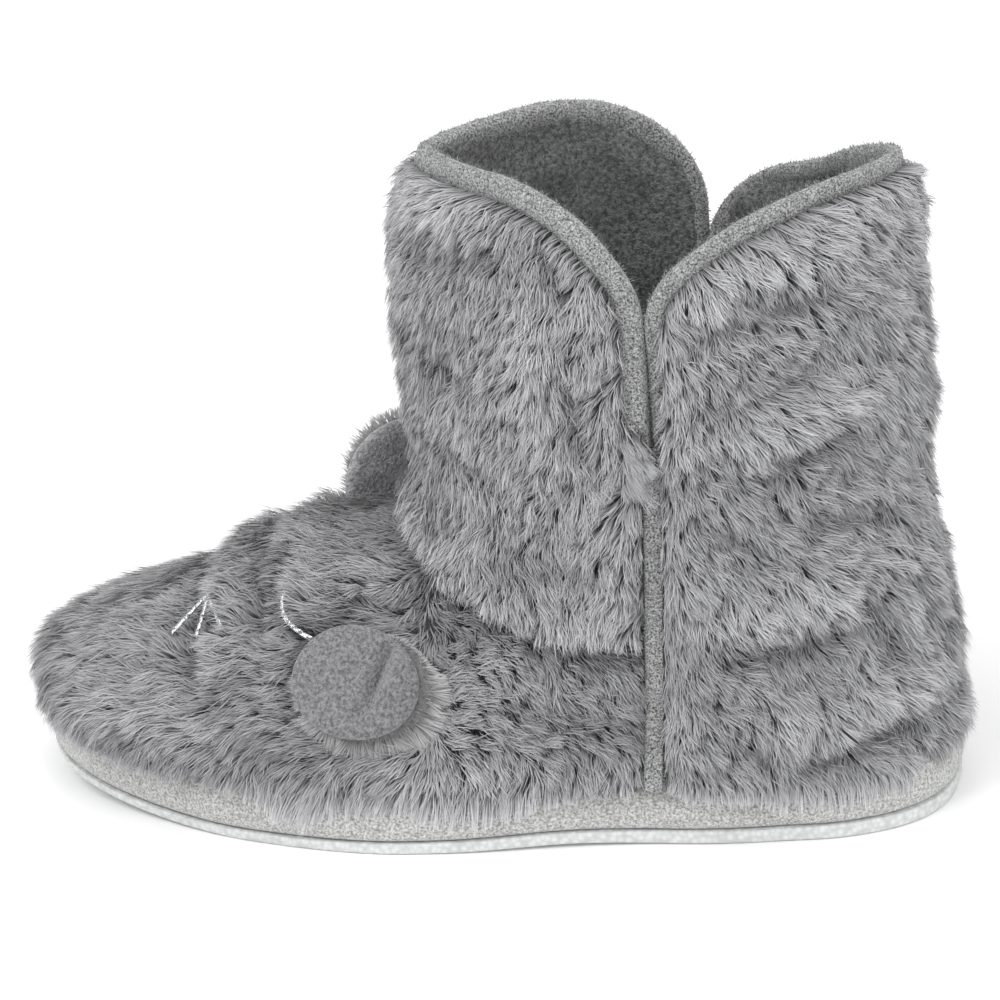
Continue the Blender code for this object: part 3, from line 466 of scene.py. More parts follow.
def nearest_tuft(points, size, seed):
    """The centre of the tuft that each point belongs to, and a number of its own."""
    cell = np.floor(points / size).astype(np.int64)
    best = np.full(len(points), 1e9)
    centre = np.zeros_like(points)
    own = np.zeros(len(points))
    for spot in range(27):
        here = cell + np.array([spot % 3 - 1, spot // 3 % 3 - 1, spot // 9 - 1])
        jitter = np.stack([dice(here, seed + k) for k in range(3)], 1)
        seat = (here + jitter) * size
        away = np.sum((points - seat) ** 2, axis=1)
        closer = away < best
        best[closer] = away[closer]
        centre[closer] = seat[closer]
        own[closer] = dice(here[closer], seed + 7)
    return centre, own


# The fur's relief: listed creases, soft waves, the hem of the shaft and the pressed places

CREASE_GAIN = 1.8
CREASE_HALF_WIDTH = 30.0

# Soft waves of the fur: height, size along each axis, and seed
WAVES = [(1.2, (24.0, 24.0, 12.0), 11), (1.1, (12.0, 12.0, 7.0), 12)]


def hump(value, middle, width):
    """A soft hump of height 1 round a middle."""
    return np.exp(-((value - middle) / width) ** 2)


def relief(point, place):
    """How far the fur stands out from its form or lies below it."""
    x, z = point[:, 0], point[:, 2]
    total = np.zeros(len(point))
    for crease in CREASES:
        run_x, run_z = crease.x2 - crease.x1, crease.z2 - crease.z1
        along = ((x - crease.x1) * run_x + (z - crease.z1) * run_z) / (run_x ** 2 + run_z ** 2)
        along = np.clip(along, 0.0, 1.0)
        away = np.hypot(x - crease.x1 - along * run_x, z - crease.z1 - along * run_z)
        total -= crease.depth * hump(away, 0.0, crease.width)

    # The creases fade on the midline, where both sides would meet
    side = np.abs(point[:, 1] - middle_y(x)) / CREASE_HALF_WIDTH
    total *= CREASE_GAIN * np.clip(side, 0.3, 1.0)
    for height, size, seed in WAVES:
        total += height * soft_noise(point, size, seed)

    # The front panel's thick lower edge, the valley under it and the slack over the ankle
    above = z - hem_line_z(place)
    lip = 2.6 * hump(above, 4.0, 6.0) * (above > 0)
    valley = 4.0 * hump(above, -3.0, 4.0) * (above <= 0)
    total += np.where(from_toe(place) < 1.0, lip - valley, 0.0)
    neck = hump(z, NECK_Z, 17.0) * (1 - smooth_step(-14.0, 8.0, x)) * (above > 0)
    return total - NECK_DEPTH * neck


def pressed_share(points):
    """1 where an ear lies on the fur or is sewn to it, 0 away from the ears."""
    near = np.hypot(points[:, 0] - NEAR_EAR.x - NEAR_EAR.fur_x,
                    (points[:, 2] - NEAR_EAR.z - NEAR_EAR.fur_z) / EAR_FLATTENING)
    near = np.where(points[:, 1] < 0, near, 99.0)
    along_x = points[:, 0] - FAR_EAR.x
    along_y = points[:, 1] - FAR_EAR_Y
    turned_x = along_x * math.cos(FAR_EAR_TURN) + along_y * math.sin(FAR_EAR_TURN)
    turned_y = along_y * math.cos(FAR_EAR_TURN) - along_x * math.sin(FAR_EAR_TURN)
    far = np.hypot(turned_x, (turned_y + EAR_FUR_THICKNESS) * 3.0)
    far = np.where((points[:, 2] > 55.0) & (points[:, 2] < 96.0), far, 99.0)
    flat_near = 1 - smooth_step(NEAR_EAR.fur_radius - 4.0, NEAR_EAR.fur_radius + 3.0, near)
    flat_far = 1 - smooth_step(FAR_EAR.fur_radius - 2.0, FAR_EAR.fur_radius + 3.0, far)
    return np.maximum(flat_near, flat_far)


def side_point(x, z, side, depth):
    """A point under the fur's form at a station and a height, on one side of the foot."""
    x = np.asarray(x, float)
    z = np.asarray(z, float)
    turn = -1.0 if side == "near" else 1.0
    step = 1.0
    y = middle_y(x) + turn * foot_width(x, z, side)
    slope_x = (foot_width(x + step, z, side) - foot_width(x - step, z, side)) / (2 * step)
    slope_z = (foot_width(x, z + step, side) - foot_width(x, z - step, side)) / (2 * step)
    normal = unit(np.stack([-slope_x, turn * np.ones_like(slope_x), -slope_z], -1))
    return np.stack([x, y, z], -1) - normal * np.asarray(depth)[..., None], normal


def stitched_lines():
    """Each embroidered line as points along X and Z, close together."""
    lines = []
    steps = np.linspace(0, len(EYE_LINE) - 1, 46)
    eye = np.array(EYE_LINE)
    spots = np.arange(len(EYE_LINE))
    lines.append(np.stack([smooth_line(spots, eye[:, k])(steps) for k in range(2)], 1))
    for end in WHISKER_ENDS:
        share = np.linspace(0.0, 1.0, 18)[:, None]
        bow = np.array([[0.5, 0.5]]) * np.sin(math.pi * share)
        lines.append(np.array(WHISKER_ROOT) * (1 - share) + np.array(end) * share + bow * 0.6)
    return lines


STITCHED = [(side, line) for side in ("near", "far") for line in stitched_lines()]


def stitch_distance(points):
    """Distance from each point to the nearest embroidered line."""
    best = np.full(len(points), 1e9)
    around = np.flatnonzero((points[:, 0] < -20.0) & (points[:, 0] > -95.0) & (points[:, 2] > 40.0))
    near_points = points[around]
    closest = best[around]
    for side, line in STITCHED:
        for spot in side_point(line[::2, 0], line[::2, 1], side, STITCH_DEPTH)[0]:
            closest = np.minimum(closest, np.linalg.norm(near_points - spot, axis=1))
    best[around] = closest
    return best


# Meshes

def to_frame(points):
    """From the last's millimetres to the frame's metres."""
    return (np.asarray(points) + LAST_SHIFT) * MM


def shaped_grid(columns, rows, shape, wrap=True):
    """A grid laid on a form: shape takes two arrays of shares and gives points."""
    bm = bmesh.new()
    bmesh.ops.create_grid(bm, x_segments=columns, y_segments=rows, size=0.5)
    shares = np.array([vert.co[:2] for vert in bm.verts]) + 0.5
    for vert, point in zip(bm.verts, to_frame(shape(shares[:, 0], shares[:, 1]))):
        vert.co = point
    if wrap:
        bmesh.ops.remove_doubles(bm, verts=bm.verts, dist=1e-6)
    return bm


def cap_ends(bm):
    edges = [edge for edge in bm.edges if edge.is_boundary]
    bmesh.ops.holes_fill(bm, edges=edges, sides=0)


def place_piece(name, mesh, materials):
    """Put a mesh in the scene as a smooth named piece that rides on the shoe."""
    mesh.shade_smooth()
    for material in materials:
        mesh.materials.append(material)
    piece = bpy.data.objects.new(name, mesh)
    bpy.context.collection.objects.link(piece)
    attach(piece, "root")
    return piece


def add_piece(name, bm, materials, stands_for=()):
    """Write a mesh as a piece, in place of the solids it stands for."""
    bmesh.ops.recalc_face_normals(bm, faces=bm.faces)
    mesh = bpy.data.meshes.new(name)
    bm.to_mesh(mesh)
    bm.free()
    piece = place_piece(name, mesh, materials)
    if stands_for:
        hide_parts(*stands_for)
    return piece


# Materials

def linear(hex_colour):
    """An sRGB hex colour as linear values."""
    values = [int(hex_colour[k:k + 2], 16) / 255 for k in (1, 3, 5)]
    return [v / 12.92 if v <= 0.04045 else ((v + 0.055) / 1.055) ** 2.4 for v in values] + [1.0]


def add_node(tree, kind, settings=None, inputs=None):
    """Add a node with its settings, and its inputs as values or as other nodes' outputs."""
    made = tree.nodes.new(kind)
    for name, value in (settings or {}).items():
        setattr(made, name, value)
    for name, value in (inputs or {}).items():
        if isinstance(value, bpy.types.NodeSocket):
            tree.links.new(value, made.inputs[name])
        else:
            made.inputs[name].default_value = value
    return made


def start_material(name, roughness, sheen=0.0, metallic=0.0, specular=0.4):
    material = bpy.data.materials.new(name)
    material.use_nodes = True
    tree = material.node_tree
    shader = tree.nodes["Principled BSDF"]
    shader.inputs["Roughness"].default_value = roughness
    shader.inputs["Metallic"].default_value = metallic
    shader.inputs["Specular IOR Level"].default_value = specular
    shader.inputs["Sheen Weight"].default_value = sheen
    shader.inputs["Sheen Roughness"].default_value = 0.6
    return material, tree, shader


def ramp(tree, factor, stops):
    """A colour ramp through (place, hex colour) stops."""
    made = add_node(tree, "ShaderNodeValToRGB", None, {"Fac": factor})
    while len(made.color_ramp.elements) < len(stops):
        made.color_ramp.elements.new(0.5)
    for element, (place, colour) in zip(made.color_ramp.elements, stops):
        element.position = place
        element.color = linear(colour)
    return made.outputs["Color"]


def object_noise(tree, size_mm, detail=2.0, stretch=(1.0, 1.0, 1.0), roughness=0.5):
    """Noise on the piece's own coordinates, with grains of a real size."""
    place = add_node(tree, "ShaderNodeTexCoord").outputs["Object"]
    mapped = add_node(tree, "ShaderNodeMapping", None, {"Vector": place, "Scale": stretch})
    noise = add_node(tree, "ShaderNodeTexNoise", None, {
        "Vector": mapped.outputs["Vector"], "Scale": 1.0 / (size_mm * MM), "Detail": detail,
        "Roughness": roughness})
    return noise.outputs["Fac"]


def add_bump(tree, shader, height, distance_mm, strength=1.0, under=None):
    inputs = {"Height": height, "Distance": distance_mm * MM, "Strength": strength}
    if under is not None:
        inputs["Normal"] = under
    made = add_node(tree, "ShaderNodeBump", None, inputs)
    tree.links.new(made.outputs["Normal"], shader.inputs["Normal"])
    return made.outputs["Normal"]


def fur_material(name, root, middle, tip, bright):
    """Acrylic faux fur: matt fine fibres, darkened towards the roots as painted shade between the
    tufts, and pale at the tips.
    """
    material, tree, shader = start_material(name, 0.62, sheen=0.15, specular=0.25)
    strand = add_node(tree, "ShaderNodeUVMap", {"uv_map": "strand"}).outputs["UV"]
    parts = add_node(tree, "ShaderNodeSeparateXYZ", None, {"Vector": strand})
    # The ramp from root to tip paints shade deep in the pile: dark at the roots, pale at the tips
    along = ramp(tree, parts.outputs["Y"], [(0.0, root), (0.45, middle), (0.95, tip)])
    value = add_node(tree, "ShaderNodeMapRange", None, {
        "Value": parts.outputs["X"], "To Min": bright[0], "To Max": bright[1]})
    toned = add_node(tree, "ShaderNodeHueSaturation", None, {
        "Color": along, "Value": value.outputs["Result"]})
    tree.links.new(toned.outputs["Color"], shader.inputs["Base Color"])
    return material


def backing_material():
    """The knitted ground that the pile grows from, dark between the fibres."""
    material, tree, shader = start_material("fur_ground", 0.9, sheen=0.1, specular=0.1)
    grain = object_noise(tree, 1.4, detail=3.0)
    tree.links.new(ramp(tree, grain, [(0.3, "#5b5a5b"), (0.7, "#7a797a")]),
                   shader.inputs["Base Color"])
    add_bump(tree, shader, grain, 0.8)
    return material


def fleece_material(name, dark, light, curl_mm=1.5):
    """Polar fleece: short curled polyester pile in small soft blobs, quite matt."""
    material, tree, shader = start_material(name, 0.95, sheen=0.35, specular=0.1)
    curls = object_noise(tree, curl_mm, detail=2.5, roughness=0.6)
    fine = object_noise(tree, curl_mm * 0.35, detail=1.0)
    mixed = add_node(tree, "ShaderNodeMath", {"operation": "MULTIPLY_ADD"},
                     {0: fine, 1: 0.35, 2: curls})
    tree.links.new(ramp(tree, mixed.outputs["Value"], [(0.5, dark), (0.85, light)]),
                   shader.inputs["Base Color"])
    add_bump(tree, shader, mixed.outputs["Value"], 1.1)
    return material


def suede_material(name, dark, light, grain_mm=0.55):
    """Microsuede: a napped knit of very fine fibres, speckled light and dark."""
    material, tree, shader = start_material(name, 0.9, sheen=0.3, specular=0.15)
    grain = object_noise(tree, grain_mm, detail=3.0, roughness=0.65)
    tree.links.new(ramp(tree, grain, [(0.36, dark), (0.64, light)]), shader.inputs["Base Color"])
    add_bump(tree, shader, grain, 0.5)
    return material


def foam_material():
    """White blown foam with a pebbled mould texture, evenly matt."""
    material, tree, shader = start_material("white_foam", 0.55, specular=0.4)
    pebbles = add_node(tree, "ShaderNodeTexVoronoi", None, {
        "Vector": add_node(tree, "ShaderNodeTexCoord").outputs["Object"], "Scale": 620.0})
    tree.links.new(ramp(tree, pebbles.outputs["Distance"], [(0.0, "#d9dbda"), (0.8, "#babdbc")]),
                   shader.inputs["Base Color"])
    add_bump(tree, shader, pebbles.outputs["Distance"], 0.25)
    return material


def silver_material():
    """Metallised film thread, bright and a little rough."""
    material, tree, shader = start_material("silver_thread", 0.25, metallic=1.0)
    shade = object_noise(tree, 0.7)
    tree.links.new(ramp(tree, shade, [(0.38, "#77797d"), (0.56, "#fbfcfd")]),
                   shader.inputs["Base Color"])
    return material


FUR = fur_material("faux_fur", "#5a5a5b", "#8a8a8c", "#b1b1b3", (0.74, 1.46))
EAR_FUR = fur_material("ear_fur", "#6e6e6f", "#9d9d9e", "#bcbcbd", (0.75, 1.2))
GROUND = backing_material()
LINING = fleece_material("lining_fleece", "#323333", "#7a7b7b", 1.3)
EAR_FLEECE = fleece_material("ear_fleece", "#4a4a4c", "#87878a", 1.0)
# The far ear's fleece is a paler copy of the ear fleece: painted light on the ear that faces away
# from the key light
FAR_EAR_FLEECE_PAINTED_LIGHT = fleece_material("far_ear_fleece_painted_light", "#6c6c6f", "#acacaf", 1.0)
BINDING_SUEDE = suede_material("binding_microsuede", "#2a2c2c", "#b2b3b2", 0.55)
BAND_SUEDE = suede_material("band_microsuede", "#7d7d7b", "#cfcfcd", 0.7)
FOAM = foam_material()
SILVER = silver_material()
NAP = fur_material("microsuede_nap", "#4a4d4d", "#7c7f7f", "#b0b3b3", (0.6, 1.4))


# The wall: knitted ground outside, fleece lining inside

def nearer_slit(panel, across):
    return np.where(across < 0.5, panel.first, panel.first + 2.0)


def shoulder_length(places):
    return quarter_length(places, np.full_like(places, SLIT_SHOULDER_Z))


def shaft_places(panel, seat, across, z):
    """Places of a panel's columns, moved back from the slit to leave room for its binding."""
    own = panel.first + 2 * across
    side = nearer_slit(panel, across)
    seat_share = seat * smooth_step(SLIT_Z, SLIT_Z + NOTCH, z) / shoulder_length(own)
    inward = np.sign(own - side + 1e-9 * (0.5 - across))
    return side + inward * (seat_share + np.abs(own - side) * (1 - seat_share))


def panel_shape(panel, seat):
    """Form places and heights of a panel, which stops at a seat from its rim and slits."""
    def spread(across, up):
        top_place = shaft_places(panel, seat, across, np.full_like(across, SLIT_SHOULDER_Z))
        length = shoulder_length(top_place)
        slit_distance = np.abs(top_place - nearer_slit(panel, across)) * length
        top = rim_height(panel, slit_distance, seat, length, top_place % 4.0)
        z = SLIT_Z + (top - SLIT_Z) * up
        return shaft_places(panel, seat, across, z), z
    return spread


def ring_shape(around, up):
    """Form places and heights of the closed part, from the sole's top to the slit's foot."""
    place = around * 4.0
    low = sole_top_z(place) + FIT_GAP
    return place, low + (SLIT_Z - low) * up


def wall_surface(spread, depth):
    """A surface below the fur's form, following its creases softly."""
    def shape(across, up):
        place, z = spread(across, up)
        point = form_point(place, z)
        stand = relief(point, place % 4.0) * 0.5
        return point - form_normal(place, z) * (depth - stand)[:, None]
    return shape


def make_wall():
    """One wall from the sole to the collar, open above and below."""
    joined = bmesh.new()
    shapes = [(ring_shape, 160, 44)]
    for panel in (FRONT_PANEL, BACK_PANEL):
        shapes.append((panel_shape(panel, panel.binding_width * TUCKED), 80, 22))
    for spread, columns, rows in shapes:
        part = shaped_grid(columns, rows, wall_surface(spread, PILE))
        mesh = bpy.data.meshes.new("part")
        part.to_mesh(mesh)
        part.free()
        joined.from_mesh(mesh)
        bpy.data.meshes.remove(mesh)
    bmesh.ops.remove_doubles(joined, verts=joined.verts, dist=2e-5)
    piece = add_piece("upper_wall", joined, [GROUND, LINING], ("upper",))
    wall = piece.modifiers.new("wall", "SOLIDIFY")
    wall.thickness = WALL * MM
    wall.offset = -1.0
    wall.material_offset = 1
    wall.material_offset_rim = 1
    return piece


# Fur strands

# Shares along a strand, how far it has risen and travelled there, and its width in millimetres
STRAND_STEPS = np.array([0.0, 0.5, 1.0])
STRAND_RISE = np.array([0.0, 0.78, 1.0])
STRAND_TRAVEL = np.array([0.0, 0.33, 1.0])
STRAND_WIDTH = np.array([0.33, 0.3])
STRAND_CORNERS = 5
STRAND_LOOPS = np.array([0, 1, 3, 2, 2, 3, 4])
STRAND_FACE_STARTS = np.array([0, 4])


def strand_curve(root, flow, normal, travel, rise):
    """Centre lines that rise from their roots and bend over into the flow."""
    return (root[:, None, :] + flow[:, None, :] * (travel[:, None] * STRAND_TRAVEL)[:, :, None]
            + normal[:, None, :] * (rise[:, None] * STRAND_RISE)[:, :, None])


def strand_mesh(name, centre, side, tone, material, width=1.0):
    """One mesh of narrow pointed blades: centre lines, width directions and tones.

    Each blade is a four-cornered face with a triangle on top. Its own UV map gives its tone
    across and the share along it upwards.
    """
    count = len(centre)
    half = side[:, None, :] * (STRAND_WIDTH[None, :, None] * width / 2)
    corners = np.stack([centre[:, :2] - half, centre[:, :2] + half], 2).reshape(count, 4, 3)
    verts = to_frame(np.concatenate([corners, centre[:, 2:]], 1)).astype(np.float32)
    strand = np.arange(count)[:, None]
    loops = (STRAND_LOOPS + STRAND_CORNERS * strand).astype(np.int32)
    starts = (STRAND_FACE_STARTS + len(STRAND_LOOPS) * strand).astype(np.int32)
    uv = np.zeros((count, len(STRAND_LOOPS), 2), np.float32)
    uv[:, :, 0] = tone[:, None]
    uv[:, :, 1] = STRAND_STEPS[STRAND_LOOPS // 2]
    mesh = bpy.data.meshes.new(name)
    mesh.vertices.add(count * STRAND_CORNERS)
    mesh.loops.add(loops.size)
    mesh.polygons.add(starts.size)
    mesh.vertices.foreach_set("co", verts.ravel())
    mesh.loops.foreach_set("vertex_index", loops.ravel())
    mesh.polygons.foreach_set("loop_start", starts.ravel())
    mesh.uv_layers.new(name="strand").data.foreach_set("uv", uv.ravel())
    mesh.update(calc_edges=True)
    return place_piece(name, mesh, [material])


def turned(vectors, axes, angles):
    """Vectors turned about unit axes."""
    cos = np.cos(angles)[:, None]
    sin = np.sin(angles)[:, None]
    lengthwise = np.sum(vectors * axes, 1, keepdims=True)
    return vectors * cos + np.cross(axes, vectors) * sin + axes * lengthwise * (1 - cos)


def mixed(first, second, share):
    return first * (1 - share[:, None]) + second * share[:, None]


def fur_flow(point, normal, place):
    """The way the pile is combed: down the shaft, to the toe on the vamp, over the band."""
    x, z = point[:, 0], point[:, 2]
    round_toe = from_toe(place)
    near_low = 1 - smooth_step(6.0, 18.0, z - sole_top_z(place))
    ones = np.ones((len(x), 1))
    vamp = mixed(ones * (-1.0, 0.0, -0.16), ones * (-0.55, 0.0, -0.9), near_low)
    behind = mixed(ones * (0.8, 0.0, -0.42), ones * (-0.25, 0.0, -1.0), near_low)
    vamp = mixed(vamp, behind, smooth_step(-16.0, 4.0, x))
    top_left = smooth_step(150.0, 178.0, z) * (1 - smooth_step(4.0, 34.0, x))
    shaft = mixed(ones * (-0.05, 0.0, -1.0), ones * (-0.75, 0.0, -0.8), top_left)
    slant = 0.12 + 0.55 * smooth_step(2.0, 24.0, x - section_line["seam"](z))
    back = downward(slant)
    above_hem = smooth_step(-1.0, 1.0, z - hem_line_z(place))
    front = mixed(vamp, shaft, above_hem)
    flow = mixed(front, back, smooth_step(0.98, 1.02, round_toe))
    flow = unit(without(flow, normal))
    swirl = 0.42 * soft_noise(point, 26.0, 21) + 0.3 * soft_noise(point, 9.0, 22)
    return turned(flow, normal, swirl)


def scatter(spread, density, columns, rows, dice_box):
    """Places and heights spread evenly over a form."""
    around = (np.arange(columns) + 0.5) / columns
    up = (np.arange(rows) + 0.5) / rows
    grid_around, grid_up = [g.ravel() for g in np.meshgrid(around, up)]
    half_a, half_u = 0.5 / columns, 0.5 / rows
    across = (form_point(*spread(grid_around + half_a, grid_up))
              - form_point(*spread(grid_around - half_a, grid_up)))
    upward = (form_point(*spread(grid_around, grid_up + half_u))
              - form_point(*spread(grid_around, grid_up - half_u)))
    area = np.linalg.norm(np.cross(across, upward), axis=1)
    count = int(area.sum() * density)
    chosen = dice_box.choice(len(area), count, p=area / area.sum())
    around = grid_around[chosen] + dice_box.uniform(-half_a, half_a, count)
    up = grid_up[chosen] + dice_box.uniform(-half_u, half_u, count)
    return spread(around, up)


# The fur in millimetres: tufts inside locks, how long it is, how much more at the toe, the
# height of the front panel's lip, and how far it keeps from seams and stitches
TUFT_SIZE = 3.1
LOCK_SIZE = 9.0
FUR_LENGTH = 5.6
TOE_FUR_LENGTH = 2.6
LIP_HEIGHT = 5.0
SEAM_BARE = 3.0
STITCH_BARE = 2.5

# Share of its length that a strand keeps at each cut, and how much darker the vamp is painted, as
# painted shade
CUT = 0.62
VAMP_PAINTED_SHADE = 0.24


def pile_height(z, seam_gap, stitched, pressed):
    """Height of the pile, lower beside the closed seams, the embroidery and the ears."""
    pile = PILE * (1 - PRESSED * pressed)
    pile = pile * (0.5 + 0.5 * smooth_step(1.2, 6.0, stitched))
    open_seam = smooth_step(SLIT_Z - 8.0, SLIT_Z + 4.0, z)
    return pile * (1 - 0.5 * (1 - smooth_step(2.5, 8.0, seam_gap)) * (1 - open_seam))


def hang_over_band(point, low, hem, tuft_own, length):
    """Lengths of the strands, where the lowest ones reach raggedly down over the band."""
    ragged = 2.6 * soft_noise(point, 8.0, 51) + 2.2 * (tuft_own - 0.5)
    reach = low + 1.3 * hang_drop(point[:, 0]) + 0.8 + ragged
    return np.where(hem > 0, np.maximum(reach, 2.0) * hem + length * (1 - hem), length)


def fall_flow(point, normal, z, hem, seam_gap, flow):
    """The flow, turned down over the band and across the foot of each slit."""
    fall = unit(downward(np.full_like(z, -0.25)) + normal * 0.02)
    flow = unit(mixed(flow, fall, hem * 0.8))
    closing = hump(z - SLIT_Z, 4.0, 5.0) * (1 - smooth_step(3.0, 9.0, seam_gap))
    inward = np.sign(section_line["seam"](z) - point[:, 0])
    over = unit(downward(0.9 * inward))
    return unit(mixed(flow, over, 0.8 * closing))


def gathering(point, normal, flow, tuft, lock):
    """How far the tips lean to the middles of their tuft and lock."""
    aside = 0.66 * (tuft - point) + 0.12 * (lock - point)
    aside = without(without(aside, normal), flow, 0.5)
    return aside[:, None, :] * (STRAND_STEPS ** 1.4)[None, :, None]


def trimmed(lines, z, seam_gap, tuft_own):
    """Strands cut short until they clear the embroidery and the tapes."""
    share = np.ones(len(z))
    seam_x = section_line["seam"](z)
    beside = (seam_gap < 12.0) & (z < SLIT_Z - 5.0)
    bare = TAPE_WIDTH * (0.3 + 0.22 * tuft_own)
    for _ in range(5):
        centre = lines(share)
        blocked = np.zeros(len(z), bool)
        for spot in (centre[:, 2], centre[:, 1], (centre[:, 1] + centre[:, 2]) / 2):
            blocked |= stitch_distance(spot) < STITCH_BARE
            blocked |= beside & (np.abs(spot[:, 0] - seam_x) < bare)
        share = np.where(blocked, share * CUT, share)
    return lines(share)


def grow_fur(spread, density, columns, rows, seed):
    """Centre lines, width directions and tones of the fur over one part of the upper."""
    dice_box = np.random.default_rng(seed)
    place, z = scatter(spread, density, columns, rows, dice_box)
    place = place % 4.0
    seam_gap = np.minimum(np.abs(place - 1.0), np.abs(place - 3.0)) * quarter_length(place, z)
    keep = (seam_gap > SEAM_BARE) | (z > SLIT_Z + NOTCH)
    place, z, seam_gap = place[keep], z[keep], seam_gap[keep]
    point = form_point(place, z)
    normal = form_normal(place, z)
    count = len(place)
    stitched = stitch_distance(point)
    pressed = pressed_share(point)
    stand = relief(point, place) * smooth_step(1.0, 7.0, stitched)
    root = point - normal * (PILE - stand * 0.5)[:, None]

    # Small tufts inside larger locks
    tuft, tuft_own = nearest_tuft(point, TUFT_SIZE, 31)
    lock, lock_own = nearest_tuft(point, LOCK_SIZE, 41)
    flow = fur_flow(point, normal, place)
    flow = turned(flow, normal, 0.7 * (lock_own - 0.5) + 0.9 * (tuft_own - 0.5))
    flow = turned(flow, normal, dice_box.normal(0.0, 0.22, count))

    # Length, and how much it stands up
    smooth_toe = 1 - smooth_step(-92.0, -62.0, point[:, 0])
    length = (FUR_LENGTH + TOE_FUR_LENGTH * smooth_toe) * (0.75 + 0.5 * tuft_own)
    length = length * dice_box.uniform(0.75, 1.1, count)
    height = pile_height(z, seam_gap, stitched, pressed) + stand * 0.6
    height = height * (0.8 + 0.22 * lock_own + 0.26 * tuft_own)
    height = height * dice_box.uniform(0.72, 1.1, count)
    above_hem = z - hem_line_z(place)
    lip = (from_toe(place) < 1.0) & (above_hem > 0.0) & (above_hem < LIP_HEIGHT)
    length = np.where(lip, length * 0.85, length)
    low = z - sole_top_z(place)
    hem = 1 - smooth_step(2.0, 7.0, low)
    length = hang_over_band(point, low, hem, tuft_own, length)
    flow = fall_flow(point, normal, z, hem, seam_gap, flow)
    height = height * (1 - 0.3 * hem)
    gather = gathering(point, normal, flow, tuft, lock)

    def lines(share):
        centre = strand_curve(root, flow, normal, share * length, height)
        return centre + gather * share[:, None, None]
    centre = trimmed(lines, z, seam_gap, tuft_own)
    side = unit(np.cross(flow, normal))
    side = turned(side, flow, dice_box.normal(0.0, 0.3, count))

    # Tone with painted light and shade: paler over the band as painted light, lighter on the ridges
    # and darker in the troughs as painted shade, and darker on the vamp as painted shade
    tone = 0.46 + 0.36 * (tuft_own - 0.5) + dice_box.normal(0.0, 0.18, count)
    tone = tone - 0.1 + 0.55 * hem + 0.1 * np.clip(stand, -4.5, 2.5)
    below_front = 1 - smooth_step(-2.0, 2.0, above_hem)
    on_vamp = below_front * (1 - smooth_step(-30.0, 0.0, point[:, 0]))
    # The vamp below the front panel is darkened as painted shade
    tone = np.clip(tone - VAMP_PAINTED_SHADE * on_vamp * (1 - hem), 0.0, 1.0)
    open_fur = pressed < 0.9
    return centre[open_fur], side[open_fur], tone[open_fur]


FUR_SHARE = 1.0
FUR_WIDTH = 1.0 / math.sqrt(FUR_SHARE)
PIECE_STRANDS = 62000
FUR_DENSITY = 3.3
BINDING_COVERED = 0.6


def make_fur(name, spread, density, columns, rows, seed):
    """The fur of one part of the upper, in pieces of a fair size from front to back."""
    centre, side, tone = grow_fur(spread, density * FUR_SHARE, columns, rows, seed)
    pieces = max(1, math.ceil(len(centre) / PIECE_STRANDS))
    order = np.argsort(centre[:, 0, 1], kind="stable")
    for number, own in enumerate(np.array_split(order, pieces)):
        strand_mesh("%s_%d" % (name, number + 1), centre[own], side[own], tone[own], FUR,
                    FUR_WIDTH)


# Fur over the foot of each slit, in millimetres and strands
SLIT_TUFT_REACH = 7.5
SLIT_TUFT_STRANDS = 900


def make_slit_tuft(seam_place, name, seed):
    """Long fur of the front panel that falls over the foot of a slit."""
    dice_box = np.random.default_rng(seed)
    count = int(SLIT_TUFT_STRANDS * FUR_SHARE)
    front = -1.0 if seam_place < 2.0 else 1.0
    z = dice_box.uniform(SLIT_Z - 7.0, SLIT_Z + 8.0, count)
    length = quarter_length(np.full(count, seam_place + front * 0.1), z)
    place = seam_place + front * dice_box.uniform(2.0, 8.0, count) / length
    point = form_point(place, z)
    normal = form_normal(place, z)
    tuft, tuft_own = nearest_tuft(point, 4.0, 33)
    fall = unit(downward(0.9 + 0.5 * (tuft_own - 0.5)))
    fall = turned(fall, normal, dice_box.normal(0.0, 0.2, count))
    travel = SLIT_TUFT_REACH * (0.7 + 0.5 * tuft_own) * dice_box.uniform(0.8, 1.1, count)
    rise = PILE * dice_box.uniform(0.95, 1.2, count)
    centre = strand_curve(point - normal * PILE, fall, normal, travel, rise)
    centre = centre + 0.5 * (tuft - point)[:, None, :] * STRAND_STEPS[None, :, None]
    side = turned(unit(np.cross(fall, normal)), fall, dice_box.normal(0.0, 0.3, count))
    tone = np.clip(0.36 + 0.3 * (tuft_own - 0.5) + dice_box.normal(0.0, 0.16, count), 0.0, 1.0)
    strand_mesh(name, centre, side, tone, FUR, FUR_WIDTH)


# Bindings, tapes and sole

def rounded_bar(angle, width, thickness, squareness=3.0):
    """Across and out distances of a flat bar's rounded section."""
    across = np.sign(np.sin(angle)) * np.abs(np.sin(angle)) ** (2 / squareness)
    out = np.sign(np.cos(angle)) * np.abs(np.cos(angle)) ** (2 / squareness)
    return across * width / 2, out * thickness / 2


# The stitched groove: its depth, and where it lies as a share of the bar's width
GROOVE_DEPTH = 0.4
GROOVE_PLACE = 0.33


